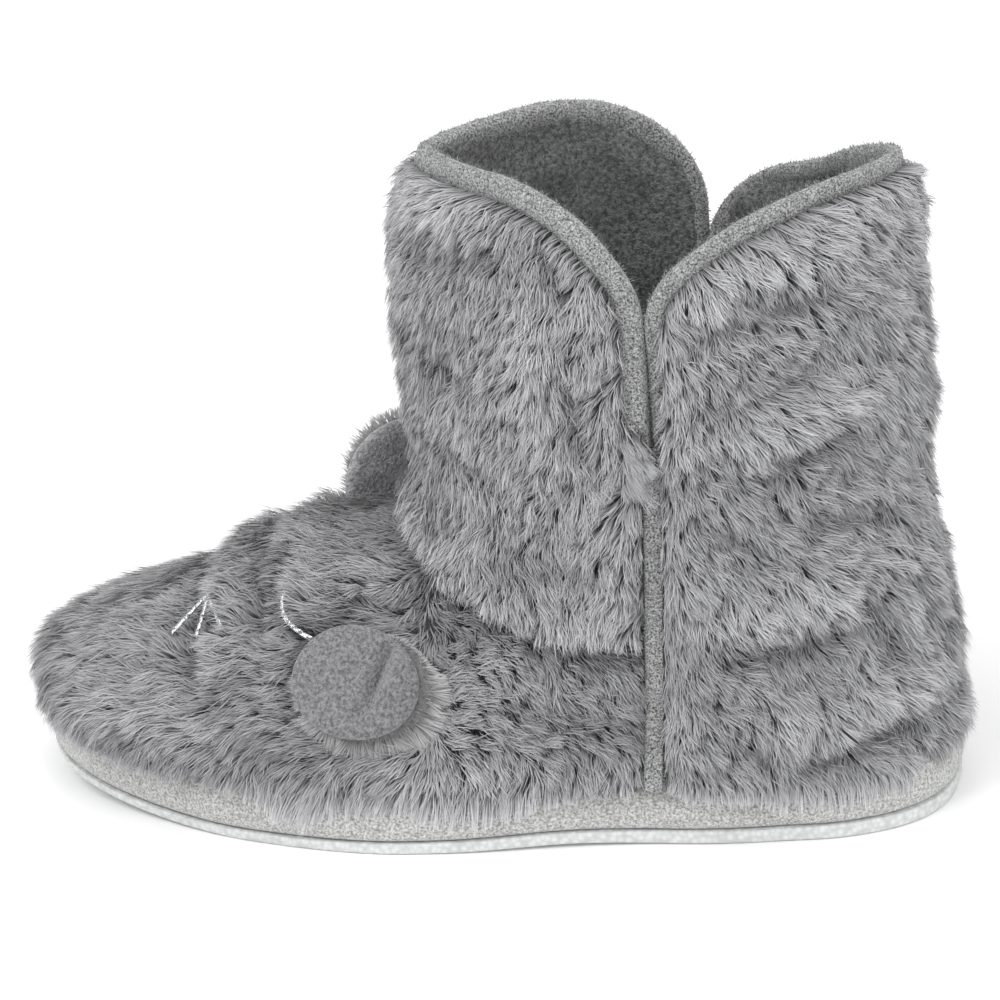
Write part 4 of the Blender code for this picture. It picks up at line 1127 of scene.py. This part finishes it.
def bar_shape(path, normal, width, thickness):
    """The skin of a flat rounded bar along a path, with a stitched groove and a little pucker."""
    length = line_length(path)
    length = length / length[-1]

    def shape(along, round_share):
        centre = along_line(path, length, along)
        ahead = (along_line(path, length, np.minimum(along + 0.004, 1.0))
                 - along_line(path, length, np.maximum(along - 0.004, 0.0)))
        out = unit(along_line(normal, length, along))
        across = unit(np.cross(out, unit(ahead)))
        wide, thick = rounded_bar(round_share * 2 * math.pi, width, thickness)
        groove = GROOVE_DEPTH * hump(wide, -width * GROOVE_PLACE, 0.5)
        thick = thick - np.sign(thick) * groove
        points = centre + across * wide[:, None] + out * thick[:, None]
        pucker = 0.3 * soft_noise(points, 3.2, 61)
        return points + out * pucker[:, None]
    return shape


NAP_LENGTH = 1.5


def make_nap(name, shape, count, seed):
    """Short loose fibres that stand off a microsuede bar."""
    dice_box = np.random.default_rng(seed)
    count = int(count * FUR_SHARE)
    along = dice_box.uniform(0.0, 1.0, count)
    around = dice_box.uniform(0.0, 1.0, count)
    root = shape(along, around)
    out = unit(root - shape(along, (around + 0.5) % 1.0))
    lean = unit(out + dice_box.normal(0.0, 0.6, (count, 3)))
    reach = dice_box.uniform(0.4, 1.0, count) ** 2 * NAP_LENGTH
    travel = lean[:, None, :] * (reach[:, None] * STRAND_STEPS)[:, :, None]
    side = unit(np.cross(lean, dice_box.normal(0.0, 1.0, (count, 3))))
    tone = dice_box.uniform(0.0, 1.0, count)
    return strand_mesh(name, root[:, None, :] + travel, side, tone, NAP, 0.5)


# A bar's piece, the solid it stands for, its slot, its columns and sides, and fibres of nap
Bar = namedtuple("Bar", "name node slot columns sides fibres")


def swept_bar(bar, places, heights, depth, width, thickness):
    """A microsuede bar at a depth under the form, with its nap, in place of a solid."""
    normal = form_normal(places, heights)
    path = form_point(places, heights) - normal * depth[:, None]
    shape = bar_shape(path, normal, width, thickness)
    bm = shaped_grid(bar.columns, bar.sides, shape)
    cap_ends(bm)
    add_piece(bar.name, bm, [BINDING_SUEDE], (bar.node,))
    make_nap(bar.name + "_nap", shape, bar.fibres, len(path))


# How far a binding stands out of the wall, and the points along its side, corner and top
BINDING_PROUD = 1.2
RIM_SIDE_COUNT = 16
RIM_CORNER_COUNT = 40
RIM_TOP_COUNT = 24


def rim_path(panel):
    """Places and heights along the middle of a panel's binding, from slit to slit."""
    inset = panel.binding_width / 2 + 2 * FIT_GAP
    length = float(shoulder_length(np.array([panel.first + 0.3]))[0])
    corner = panel.corner_share * length
    half = []
    for z in np.linspace(SLIT_Z + NOTCH / 2, SLIT_SHOULDER_Z, RIM_SIDE_COUNT, endpoint=False):
        half.append((inset, z))
    for angle in np.linspace(0.0, math.pi / 2, RIM_CORNER_COUNT, endpoint=False):
        away = corner - (corner - inset) * math.cos(angle)
        rise = (panel.top - SLIT_SHOULDER_Z - inset) * math.sin(angle)
        half.append((away, SLIT_SHOULDER_Z + rise))
    for away in np.linspace(corner, length, RIM_TOP_COUNT):
        half.append((away, panel.top - inset))
    start = [(panel.first + away / length, z) for away, z in half]
    end = [(panel.first + 2.0 - away / length, z) for away, z in half]
    path = np.array(start + end[::-1][1:])
    if panel is BACK_PANEL:
        path[:, 1] -= leaf_drop(path[:, 0], path[:, 1])
    return path


def make_binding(panel, name, node, slot):
    """The binding of one panel's rim, sunk where the slit closes."""
    path = rim_path(panel)
    closed_slit = 1 - smooth_step(SLIT_SHOULDER_Z - 12.0, SLIT_SHOULDER_Z + 4.0, path[:, 1])
    depth = PILE + WALL / 2 - BINDING_PROUD + panel.tuck * closed_slit
    swept_bar(Bar(name, node, slot, 200, 18, 8000), path[:, 0], path[:, 1], depth,
              panel.binding_width, panel.thickness)


SEAM_FLARE = 3.4
SEAM_FLARE_HEIGHT = 14.0


def make_tape(place, name, node, slot):
    """Flat tape over a side seam, which flares out over the sole."""
    low = float(sole_top_z(np.array([place]))[0]) + 1.0
    heights = np.linspace(low, SLIT_Z + NOTCH, 60)
    flare = SEAM_FLARE * (1 - smooth_step(0.0, SEAM_FLARE_HEIGHT, heights - low + 1.0))
    depth = PILE - flare - 2 * FIT_GAP - TAPE_THICKNESS / 2
    swept_bar(Bar(name, node, slot, 80, 14, 1600), np.full(len(heights), place), heights, depth,
              TAPE_WIDTH, TAPE_THICKNESS)


# The sole in millimetres: the hollow under the arch, and the foam's thickness at toe and heel
ARCH_HOLLOW = 0.9
ARCH_X = 30.0
ARCH_LENGTH = 22.0
TOE_OUTSOLE = 2.4
HEEL_OUTSOLE = 4.4
HEEL_X = 128.0
INSOLE_THICKNESS = 4.5

# How far the platform's edge is set in at shares of its height, from the bottom up
EdgeStep = namedtuple("EdgeStep", "share inset")
PLATFORM_EDGE = [EdgeStep(*row) for row in (
    (0.0, 2.4), (0.05, 1.3), (0.15, 0.5), (0.42, -0.1), (0.73, 0.4), (0.92, 1.2), (1.0, 2.4),
)]
OUTSOLE_EDGE = [EdgeStep(*row) for row in (
    (0.0, 1.9), (0.12, 1.15), (0.35, 0.95), (0.9, 0.8), (1.0, 1.2),
)]
INSOLE_EDGE = [EdgeStep(*row) for row in ((0.0, 0.4), (0.3, 0.0), (0.75, 0.2), (1.0, 1.6))]

# The footbed: how far it keeps from the lining, and the middles of its two pressed places
INSOLE_CLEARANCE = 2.2
HEEL_SEAT_X = 85.0
BALL_SEAT_X = -45.0


def ground_z(x):
    """Lower face of the outsole: the toe's spring, and a slight hollow at the arch."""
    return toe_lift(x) + ARCH_HOLLOW * hump(x, ARCH_X, ARCH_LENGTH)


def outsole_top(x):
    share = np.clip((x + HEEL_X) / (2 * HEEL_X), 0.0, 1.0)
    return ground_z(x) + TOE_OUTSOLE + (HEEL_OUTSOLE - TOE_OUTSOLE) * share


def platform_bottom(x):
    return outsole_top(x) + FIT_GAP


def platform_top(x):
    return SOLE_HEIGHT + toe_lift(x)


# Share of a plate's rows that lie on each of its two faces
FACE_SHARE = 0.3


def plate_shape(edge, lower, upper, ring):
    """A plate's skin: lower face from its middle out, the edge, and the upper face back in."""
    inset_at = smooth_line([step.share for step in edge], [step.inset for step in edge])

    def shape(around, up):
        place = around * 4.0
        rise = np.clip((up - FACE_SHARE) / (1 - 2 * FACE_SHARE), 0.0, 1.0)
        face = np.where(up < FACE_SHARE, up / FACE_SHARE,
                        np.where(up > 1 - FACE_SHARE, (1 - up) / FACE_SHARE, 1.0))
        outline = ring(place, -inset_at(rise), rise)
        plan = outline[:, :2] * face[:, None]
        low = lower(plan[:, 0])
        high = upper(plan[:, 0])
        return np.column_stack([plan, low * (1 - rise) + high * rise])
    return shape


def outline_at(place, outset, rise):
    """The sole's outline, the same at every share of a plate's height."""
    return sole_ring(place, outset)


def make_outsole():
    shape = plate_shape(OUTSOLE_EDGE, ground_z, outsole_top, outline_at)
    return add_piece("foam_outsole", shaped_grid(160, 36, shape), [FOAM],
                     ("outsole",))


def make_band():
    """The platform's microsuede cover, with a bulging and slightly uneven edge."""
    plain = plate_shape(PLATFORM_EDGE, platform_bottom, platform_top, outline_at)

    def shape(around, up):
        points = plain(around, up)
        edge = hump(up, 0.5, 0.16)
        wave = 0.35 * soft_noise(points, (14.0, 14.0, 9.0), 71) + 0.12 * soft_noise(points, 3.0, 72)
        out = points * (1.0, 1.0, 0.0)
        return points + unit(out) * (wave * edge)[:, None]
    return add_piece("sole_band", shaped_grid(200, 50, shape), [BAND_SUEDE],
                     ("midsole",))


def insole_outline(place, outset, rise):
    """The footbed's outline, which follows the lining as it rises."""
    z = sole_top_z(place)
    inset = PILE + WALL + INSOLE_CLEARANCE - overhang_reach(from_toe(place))
    low = sole_ring(place, -inset)
    inward = form_normal(place, z + INSOLE_THICKNESS)
    inward[:, 2] = 0.0
    high = form_point(place, z + INSOLE_THICKNESS) - inward * (PILE + WALL + INSOLE_CLEARANCE)
    side = low * 0.35 + high * 0.65
    return side + unit(inward) * outset[:, None]


def make_insole():
    """The fleece-topped footbed, pressed a little under heel and ball."""
    def bottom(x):
        return platform_top(x) + 2 * FIT_GAP

    def face(x):
        return platform_top(x) + INSOLE_THICKNESS
    plain = plate_shape(INSOLE_EDGE, bottom, face, insole_outline)

    def shape(around, up):
        points = plain(around, up)
        on_top = smooth_step(0.72, 0.85, up)
        heel = hump(np.hypot(points[:, 0] - HEEL_SEAT_X, points[:, 1]), 0.0, 26.0)
        ball = hump(np.hypot((points[:, 0] - BALL_SEAT_X) / 1.2, points[:, 1]), 0.0, 30.0)
        points[:, 2] -= on_top * (0.9 * heel + 0.7 * ball)
        points[:, 2] += on_top * 0.25 * soft_noise(points, 6.0, 81)
        return points
    piece = add_piece("footbed", shaped_grid(100, 46, shape), [LINING],
                      ("insole",))
    return piece


# Ears

def near_ear_point(across, upward, lift):
    """A point of the near ear, which hangs over the side of the vamp."""
    x = NEAR_EAR.x + across
    z = NEAR_EAR.z + upward * EAR_FLATTENING
    return side_point(x, z, "near", PILE * PRESSED - lift)


def vamp_top_z(x, y):
    """Height of the fur's outer form on the far side of the vamp."""
    heights = np.linspace(40.0, 100.0, 121)
    grid_x = np.broadcast_to(np.asarray(x)[:, None], (len(x), 121))
    width = vamp_half_width(grid_x, heights[None, :], "far")
    return np.array([np.interp(-reach, -row, heights) for reach, row in zip(y, width)])


def far_ear_point(across, upward, lift):
    """A point of the far ear, which stands up on the far side of the throat."""
    x = FAR_EAR.x + across * math.cos(FAR_EAR_TURN) + lift * math.sin(FAR_EAR_TURN)
    y = FAR_EAR_Y + across * math.sin(FAR_EAR_TURN) - lift * math.cos(FAR_EAR_TURN)
    foot = vamp_top_z(x, y) - FAR_EAR_SINK
    above = FAR_EAR.z + upward - foot
    soft = EAR_FOOT_ROUNDING * np.exp(np.clip(above / EAR_FOOT_ROUNDING - 1.0, -9.0, 0.0))
    z = foot + np.where(above < EAR_FOOT_ROUNDING, soft, above)
    facing = np.array([math.sin(FAR_EAR_TURN), -math.cos(FAR_EAR_TURN), 0.0])
    return np.stack([x, y, z], 1), np.broadcast_to(facing, (len(x), 3))


# An ear's section: share of its radius and of its thickness, from back to front
PadStep = namedtuple("PadStep", "turn reach height")
PAD_STEPS = [PadStep(*row) for row in (
    (0.0, 0.0, 0.0), (0.3, 0.9, 0.02), (0.4, 1.0, 0.25), (0.5, 1.02, 0.55),
    (0.6, 0.97, 0.85), (0.72, 0.84, 0.98), (1.0, 0.0, 1.0),
)]
pad_reach = table_line(PAD_STEPS, "turn", "reach")
pad_height = table_line(PAD_STEPS, "turn", "height")


def ear_fleece_shape(ear_point, radius, low, thick, pleat):
    """The skin of an ear's round fleece pad, with its fold pressed in from the front."""
    def shape(around, turn):
        angle = around * 2 * math.pi
        reach = radius * pad_reach(turn)
        across = reach * np.cos(angle)
        upward = reach * np.sin(angle)
        front = smooth_step(0.45, 0.75, turn)
        height = thick * pad_height(turn)
        plain = np.stack([across, upward, height], 1)
        height = height + front * 0.3 * soft_noise(plain, 4.5, 91)
        height = height - front * pleat(across, upward)
        return ear_point(across, upward, low + height)[0]
    return shape


def near_pleat(across, upward):
    """A fold from the near ear's sewn top down its rear third, with a swelling beside it."""
    line = 3.6 + 0.34 * (upward + 6.0)
    reach = smooth_step(-13.0, -2.0, upward)
    return (3.1 * hump(across, line, 1.5) - 1.6 * hump(across, line + 5.0, 3.4)) * reach


def far_pleat(across, upward):
    """A shallow dent above the far ear's sewn foot."""
    return 0.7 * hump(across, -2.0, 2.0) * (1 - smooth_step(-6.0, 6.0, upward))


def make_ear_fleece(name, node, ear_point, ear, low, pleat, fleece):
    fleece_low = low + EAR_FUR_THICKNESS + FIT_GAP
    shape = ear_fleece_shape(ear_point, ear.radius, fleece_low, EAR_FLEECE_THICKNESS, pleat)
    piece = add_piece(name, shaped_grid(80, 64, shape), [fleece], (node,))
    return piece


def make_ear_pad(name, node, ear_point, ear, low):
    """The ear's furred back: its ground as a flat pad."""
    def shape(around, turn):
        angle = around * 2 * math.pi
        reach = (ear.fur_radius - EAR_FUR_INSET) * pad_reach(turn)
        height = low + 0.2 + (EAR_FUR_THICKNESS - 0.5) * pad_height(turn)
        return ear_point(ear.fur_x + reach * np.cos(angle), ear.fur_z + reach * np.sin(angle),
                         height)[0]
    return add_piece(name, shaped_grid(60, 18, shape), [GROUND], (node,))


# How a fringe stands: length, share of it along the ear's top, tone and number of strands
Fringe = namedtuple("Fringe", "length top_share tone count")
NEAR_FRINGE = Fringe(6.2, 0.3, 0.42, 9000)
FAR_FRINGE = Fringe(1.9, 1.0, 0.5, 7000)


def make_ear_fringe(name, ear_point, ear, low, fringe, seed):
    """Strands round an ear's edge, combed outwards and down."""
    dice_box = np.random.default_rng(seed)
    count = int(fringe.count * FUR_SHARE)
    angle = dice_box.uniform(0.0, 2 * math.pi, count)
    reach = (ear.fur_radius - EAR_FUR_INSET) * dice_box.uniform(0.62, 1.0, count) ** 0.5
    outward_x, outward_z = np.cos(angle), np.sin(angle)
    depth = dice_box.uniform(0.1, 0.95, count) * EAR_FUR_THICKNESS

    # Ragged tufts, by waves that don't repeat together
    ragged = 1 + 0.22 * np.sin(angle * 7.0) + 0.14 * np.sin(angle * 17.0 + 2.0)
    travel = fringe.length * ragged * dice_box.uniform(0.75, 1.15, count)
    travel = travel * (1 - (1 - fringe.top_share) * smooth_step(-0.1, 0.7, outward_z))
    sway = 0.7 * np.sin(angle * 11.0 + 1.0) + 0.4 * np.sin(angle * 27.0)
    sway = sway + dice_box.normal(0.0, 0.25, count)
    flat_x = outward_x - outward_z * sway * 0.5
    flat_z = outward_z + outward_x * sway * 0.5 - 0.25
    across = ear.fur_x + outward_x * reach
    upward = ear.fur_z + outward_z * reach
    centre = np.stack([
        ear_point(across + flat_x * travel * step, upward + flat_z * travel * step,
                  low + depth * (1 - 0.35 * step))[0] for step in STRAND_STEPS], 1)
    facing = ear_point(across, upward, depth)[1]
    along = unit(centre[:, 2] - centre[:, 0])
    side = turned(unit(np.cross(along, facing)), along, dice_box.normal(0.0, 0.5, count))
    tone = np.clip(dice_box.normal(fringe.tone, 0.24, count), 0.0, 1.0)
    return strand_mesh(name, centre, side, tone, EAR_FUR, FUR_WIDTH)


def make_ear_pile(name, ear_point, ear, low, count, seed):
    """Short pile over the back of a standing ear, combed up and outwards."""
    dice_box = np.random.default_rng(seed)
    count = int(count * FUR_SHARE)
    angle = dice_box.uniform(0.0, 2 * math.pi, count)
    reach = (ear.fur_radius - 2.0) * np.sqrt(dice_box.uniform(0.0, 1.0, count))
    across = ear.fur_x + reach * np.cos(angle)
    upward = ear.fur_z + reach * np.sin(angle)
    pile = dice_box.uniform(1.6, 3.2, count)
    spread_x = reach * np.cos(angle) * 0.12 + dice_box.normal(0.0, 1.2, count)
    centre = np.stack([
        ear_point(across + spread_x * travel, upward + 3.4 * travel, low + 0.6 - pile * rise)[0]
        for travel, rise in zip(STRAND_TRAVEL, STRAND_RISE)], 1)
    facing = ear_point(across, upward, pile)[1]
    side = unit(np.cross(unit(centre[:, 2] - centre[:, 0]), facing))
    tone = np.clip(dice_box.normal(0.5, 0.22, count), 0.0, 1.0)
    return strand_mesh(name, centre, side, tone, EAR_FUR, FUR_WIDTH)


# Embroidery

# How far the thread stands above its trough, the step between stitches, how much each
# leans along the line, and its half sizes
THREAD_RISE = 1.5
THREAD_STEP = 0.6
THREAD_LEAN = 0.9
THREAD_SIZE = (1.4 * MM, 0.3 * MM, 0.4 * MM, 1.0)


def make_embroidery(side):
    """Satin stitches of silver thread along each line of one side of the face."""
    joined = bmesh.new()
    for own_side, line in STITCHED:
        if own_side != side:
            continue
        points, normal = side_point(line[:, 0], line[:, 1], side, STITCH_DEPTH - THREAD_RISE)
        length = line_length(points)
        for spot in np.arange(THREAD_STEP / 2, length[-1], THREAD_STEP):
            seat = along_line(points, length, spot)
            out = unit(along_line(normal, length, spot))
            along = unit(along_line(points, length, spot + 0.4) - seat + 1e-6)
            lean = unit(np.cross(out, along) + along * THREAD_LEAN)
            turn = Matrix((lean, np.cross(out, lean), out)).transposed().to_4x4()
            turn.translation = Vector(to_frame(seat))
            bmesh.ops.create_icosphere(joined, subdivisions=1, radius=1.0,
                                       matrix=turn @ Matrix.Diagonal(THREAD_SIZE))
    return add_piece("embroidery_" + side, joined, [SILVER])


# Camera, light and floor

CAMERA_AZIMUTH = math.radians(14.0)
CAMERA_ELEVATION = math.radians(22.0)
CAMERA_ROLL = math.radians(5.0)
CAMERA_DISTANCE = 1.6
CAMERA_TARGET = Vector((-0.00225, 0.0, 0.090))
CAMERA_LENS = 212.3
CAMERA_SHIFT = (0.0346, -0.0249)


def make_camera():
    """The photo's camera: a long lens, rolled a little."""
    data = bpy.data.cameras.new("camera")
    camera = bpy.data.objects.new("camera", data)
    bpy.context.collection.objects.link(camera)
    bpy.context.scene.camera = camera
    back = toward(CAMERA_AZIMUTH, CAMERA_ELEVATION)
    level_right = Vector((math.cos(CAMERA_AZIMUTH), math.sin(CAMERA_AZIMUTH), 0.0))
    level_up = back.cross(level_right)
    right = level_right * math.cos(CAMERA_ROLL) - level_up * math.sin(CAMERA_ROLL)
    up = level_right * math.sin(CAMERA_ROLL) + level_up * math.cos(CAMERA_ROLL)
    matrix = Matrix((right, up, back)).transposed().to_4x4()
    matrix.translation = CAMERA_TARGET + back * CAMERA_DISTANCE
    camera.matrix_world = matrix
    data.sensor_width = 36.0
    data.lens = CAMERA_LENS
    data.shift_x, data.shift_y = CAMERA_SHIFT
    data.clip_start = 0.05
    data.clip_end = 20.0


def toward(azimuth, elevation):
    """Unit vector from the shoe to a viewer round it and above the floor, in radians."""
    level = math.cos(elevation)
    return Vector((math.sin(azimuth) * level, -math.cos(azimuth) * level, math.sin(elevation)))


# Square softboxes: degrees round the shoe and up, metres away and across, and watts
Light = namedtuple("Light", "name azimuth elevation distance size power")
LIGHTS = [Light("key", -32.0, 50.0, 1.5, 0.8, 10.0), Light("top", 30.0, 80.0, 1.6, 0.9, 8.0),
          Light("toe_fill", -80.0, 12.0, 1.6, 0.9, 1.8),
          Light("front_fill", 42.0, 26.0, 1.6, 0.9, 9.0)]


def add_light(softbox):
    """A softbox that looks at the shoe."""
    data = bpy.data.lights.new(softbox.name, "AREA")
    data.size = softbox.size
    data.energy = softbox.power
    light = bpy.data.objects.new(softbox.name, data)
    bpy.context.collection.objects.link(light)
    back = toward(math.radians(softbox.azimuth), math.radians(softbox.elevation))
    light.location = CAMERA_TARGET + back * softbox.distance
    light.rotation_mode = "QUATERNION"
    light.rotation_quaternion = back.to_track_quat("Z", "Y")


def make_stage():
    """A pale floor and an evenly white studio, as in a product photo."""
    bm = bmesh.new()
    bmesh.ops.create_grid(bm, x_segments=1, y_segments=1, size=6.0)
    mesh = bpy.data.meshes.new("floor")
    bm.to_mesh(mesh)
    bm.free()
    material, tree, shader = start_material("pale_floor", 0.9, specular=0.1)
    shader.inputs["Base Color"].default_value = linear("#f7f7f7")
    mesh.materials.append(material)
    floor = bpy.data.objects.new("floor", mesh)
    bpy.context.collection.objects.link(floor)
    world = bpy.data.worlds.new("studio")
    bpy.context.scene.world = world
    world.use_nodes = True
    background = world.node_tree.nodes["Background"]
    background.inputs["Color"].default_value = (1.0, 1.0, 1.0, 1.0)
    background.inputs["Strength"].default_value = 0.8
    for softbox in LIGHTS:
        add_light(softbox)
    bpy.context.scene.view_settings.view_transform = "Standard"


make_camera()
make_stage()
make_wall()
make_fur("fur_foot", ring_shape, FUR_DENSITY, 400, 110, GENERATOR_SEED)
for number, panel in enumerate((FRONT_PANEL, BACK_PANEL)):
    seat = panel.binding_width - BINDING_COVERED
    make_fur(("fur_front_panel", "fur_back_panel")[number], panel_shape(panel, seat), FUR_DENSITY,
             160, 70, GENERATOR_SEED + 1 + number)
make_binding(FRONT_PANEL, "front_collar_binding", "binding_front", "front_binding")
make_binding(BACK_PANEL, "back_collar_binding", "binding_back", "back_binding")
make_tape(1.0, "near_seam_tape", "side_tape_near", "near_tape")
make_tape(3.0, "far_seam_tape", "side_tape_far", "far_tape")
make_slit_tuft(1.0, "near_slit_tuft", 111)
make_slit_tuft(3.0, "far_slit_tuft", 112)
make_outsole()
make_band()
make_insole()
make_ear_pad("near_ear_back", "ear_near_fur", near_ear_point, NEAR_EAR,
             NEAR_EAR_LIFT)
make_ear_pad("far_ear_back", "ear_far_fur", far_ear_point, FAR_EAR, 0.0)
make_ear_fleece("near_ear_front", "ear_near_fleece", near_ear_point,
                NEAR_EAR, NEAR_EAR_LIFT, near_pleat, EAR_FLEECE)
make_ear_fleece("far_ear_front", "ear_far_fleece", far_ear_point,
                FAR_EAR, 0.0, far_pleat, FAR_EAR_FLEECE_PAINTED_LIGHT)
make_ear_fringe("near_ear_fringe", near_ear_point, NEAR_EAR, NEAR_EAR_LIFT,
                NEAR_FRINGE, 101)
make_ear_fringe("far_ear_fringe", far_ear_point, FAR_EAR, 0.0, FAR_FRINGE, 102)
make_ear_pile("far_ear_pile", far_ear_point, FAR_EAR, 0.0, 6000, 103)
make_embroidery("near")
make_embroidery("far")
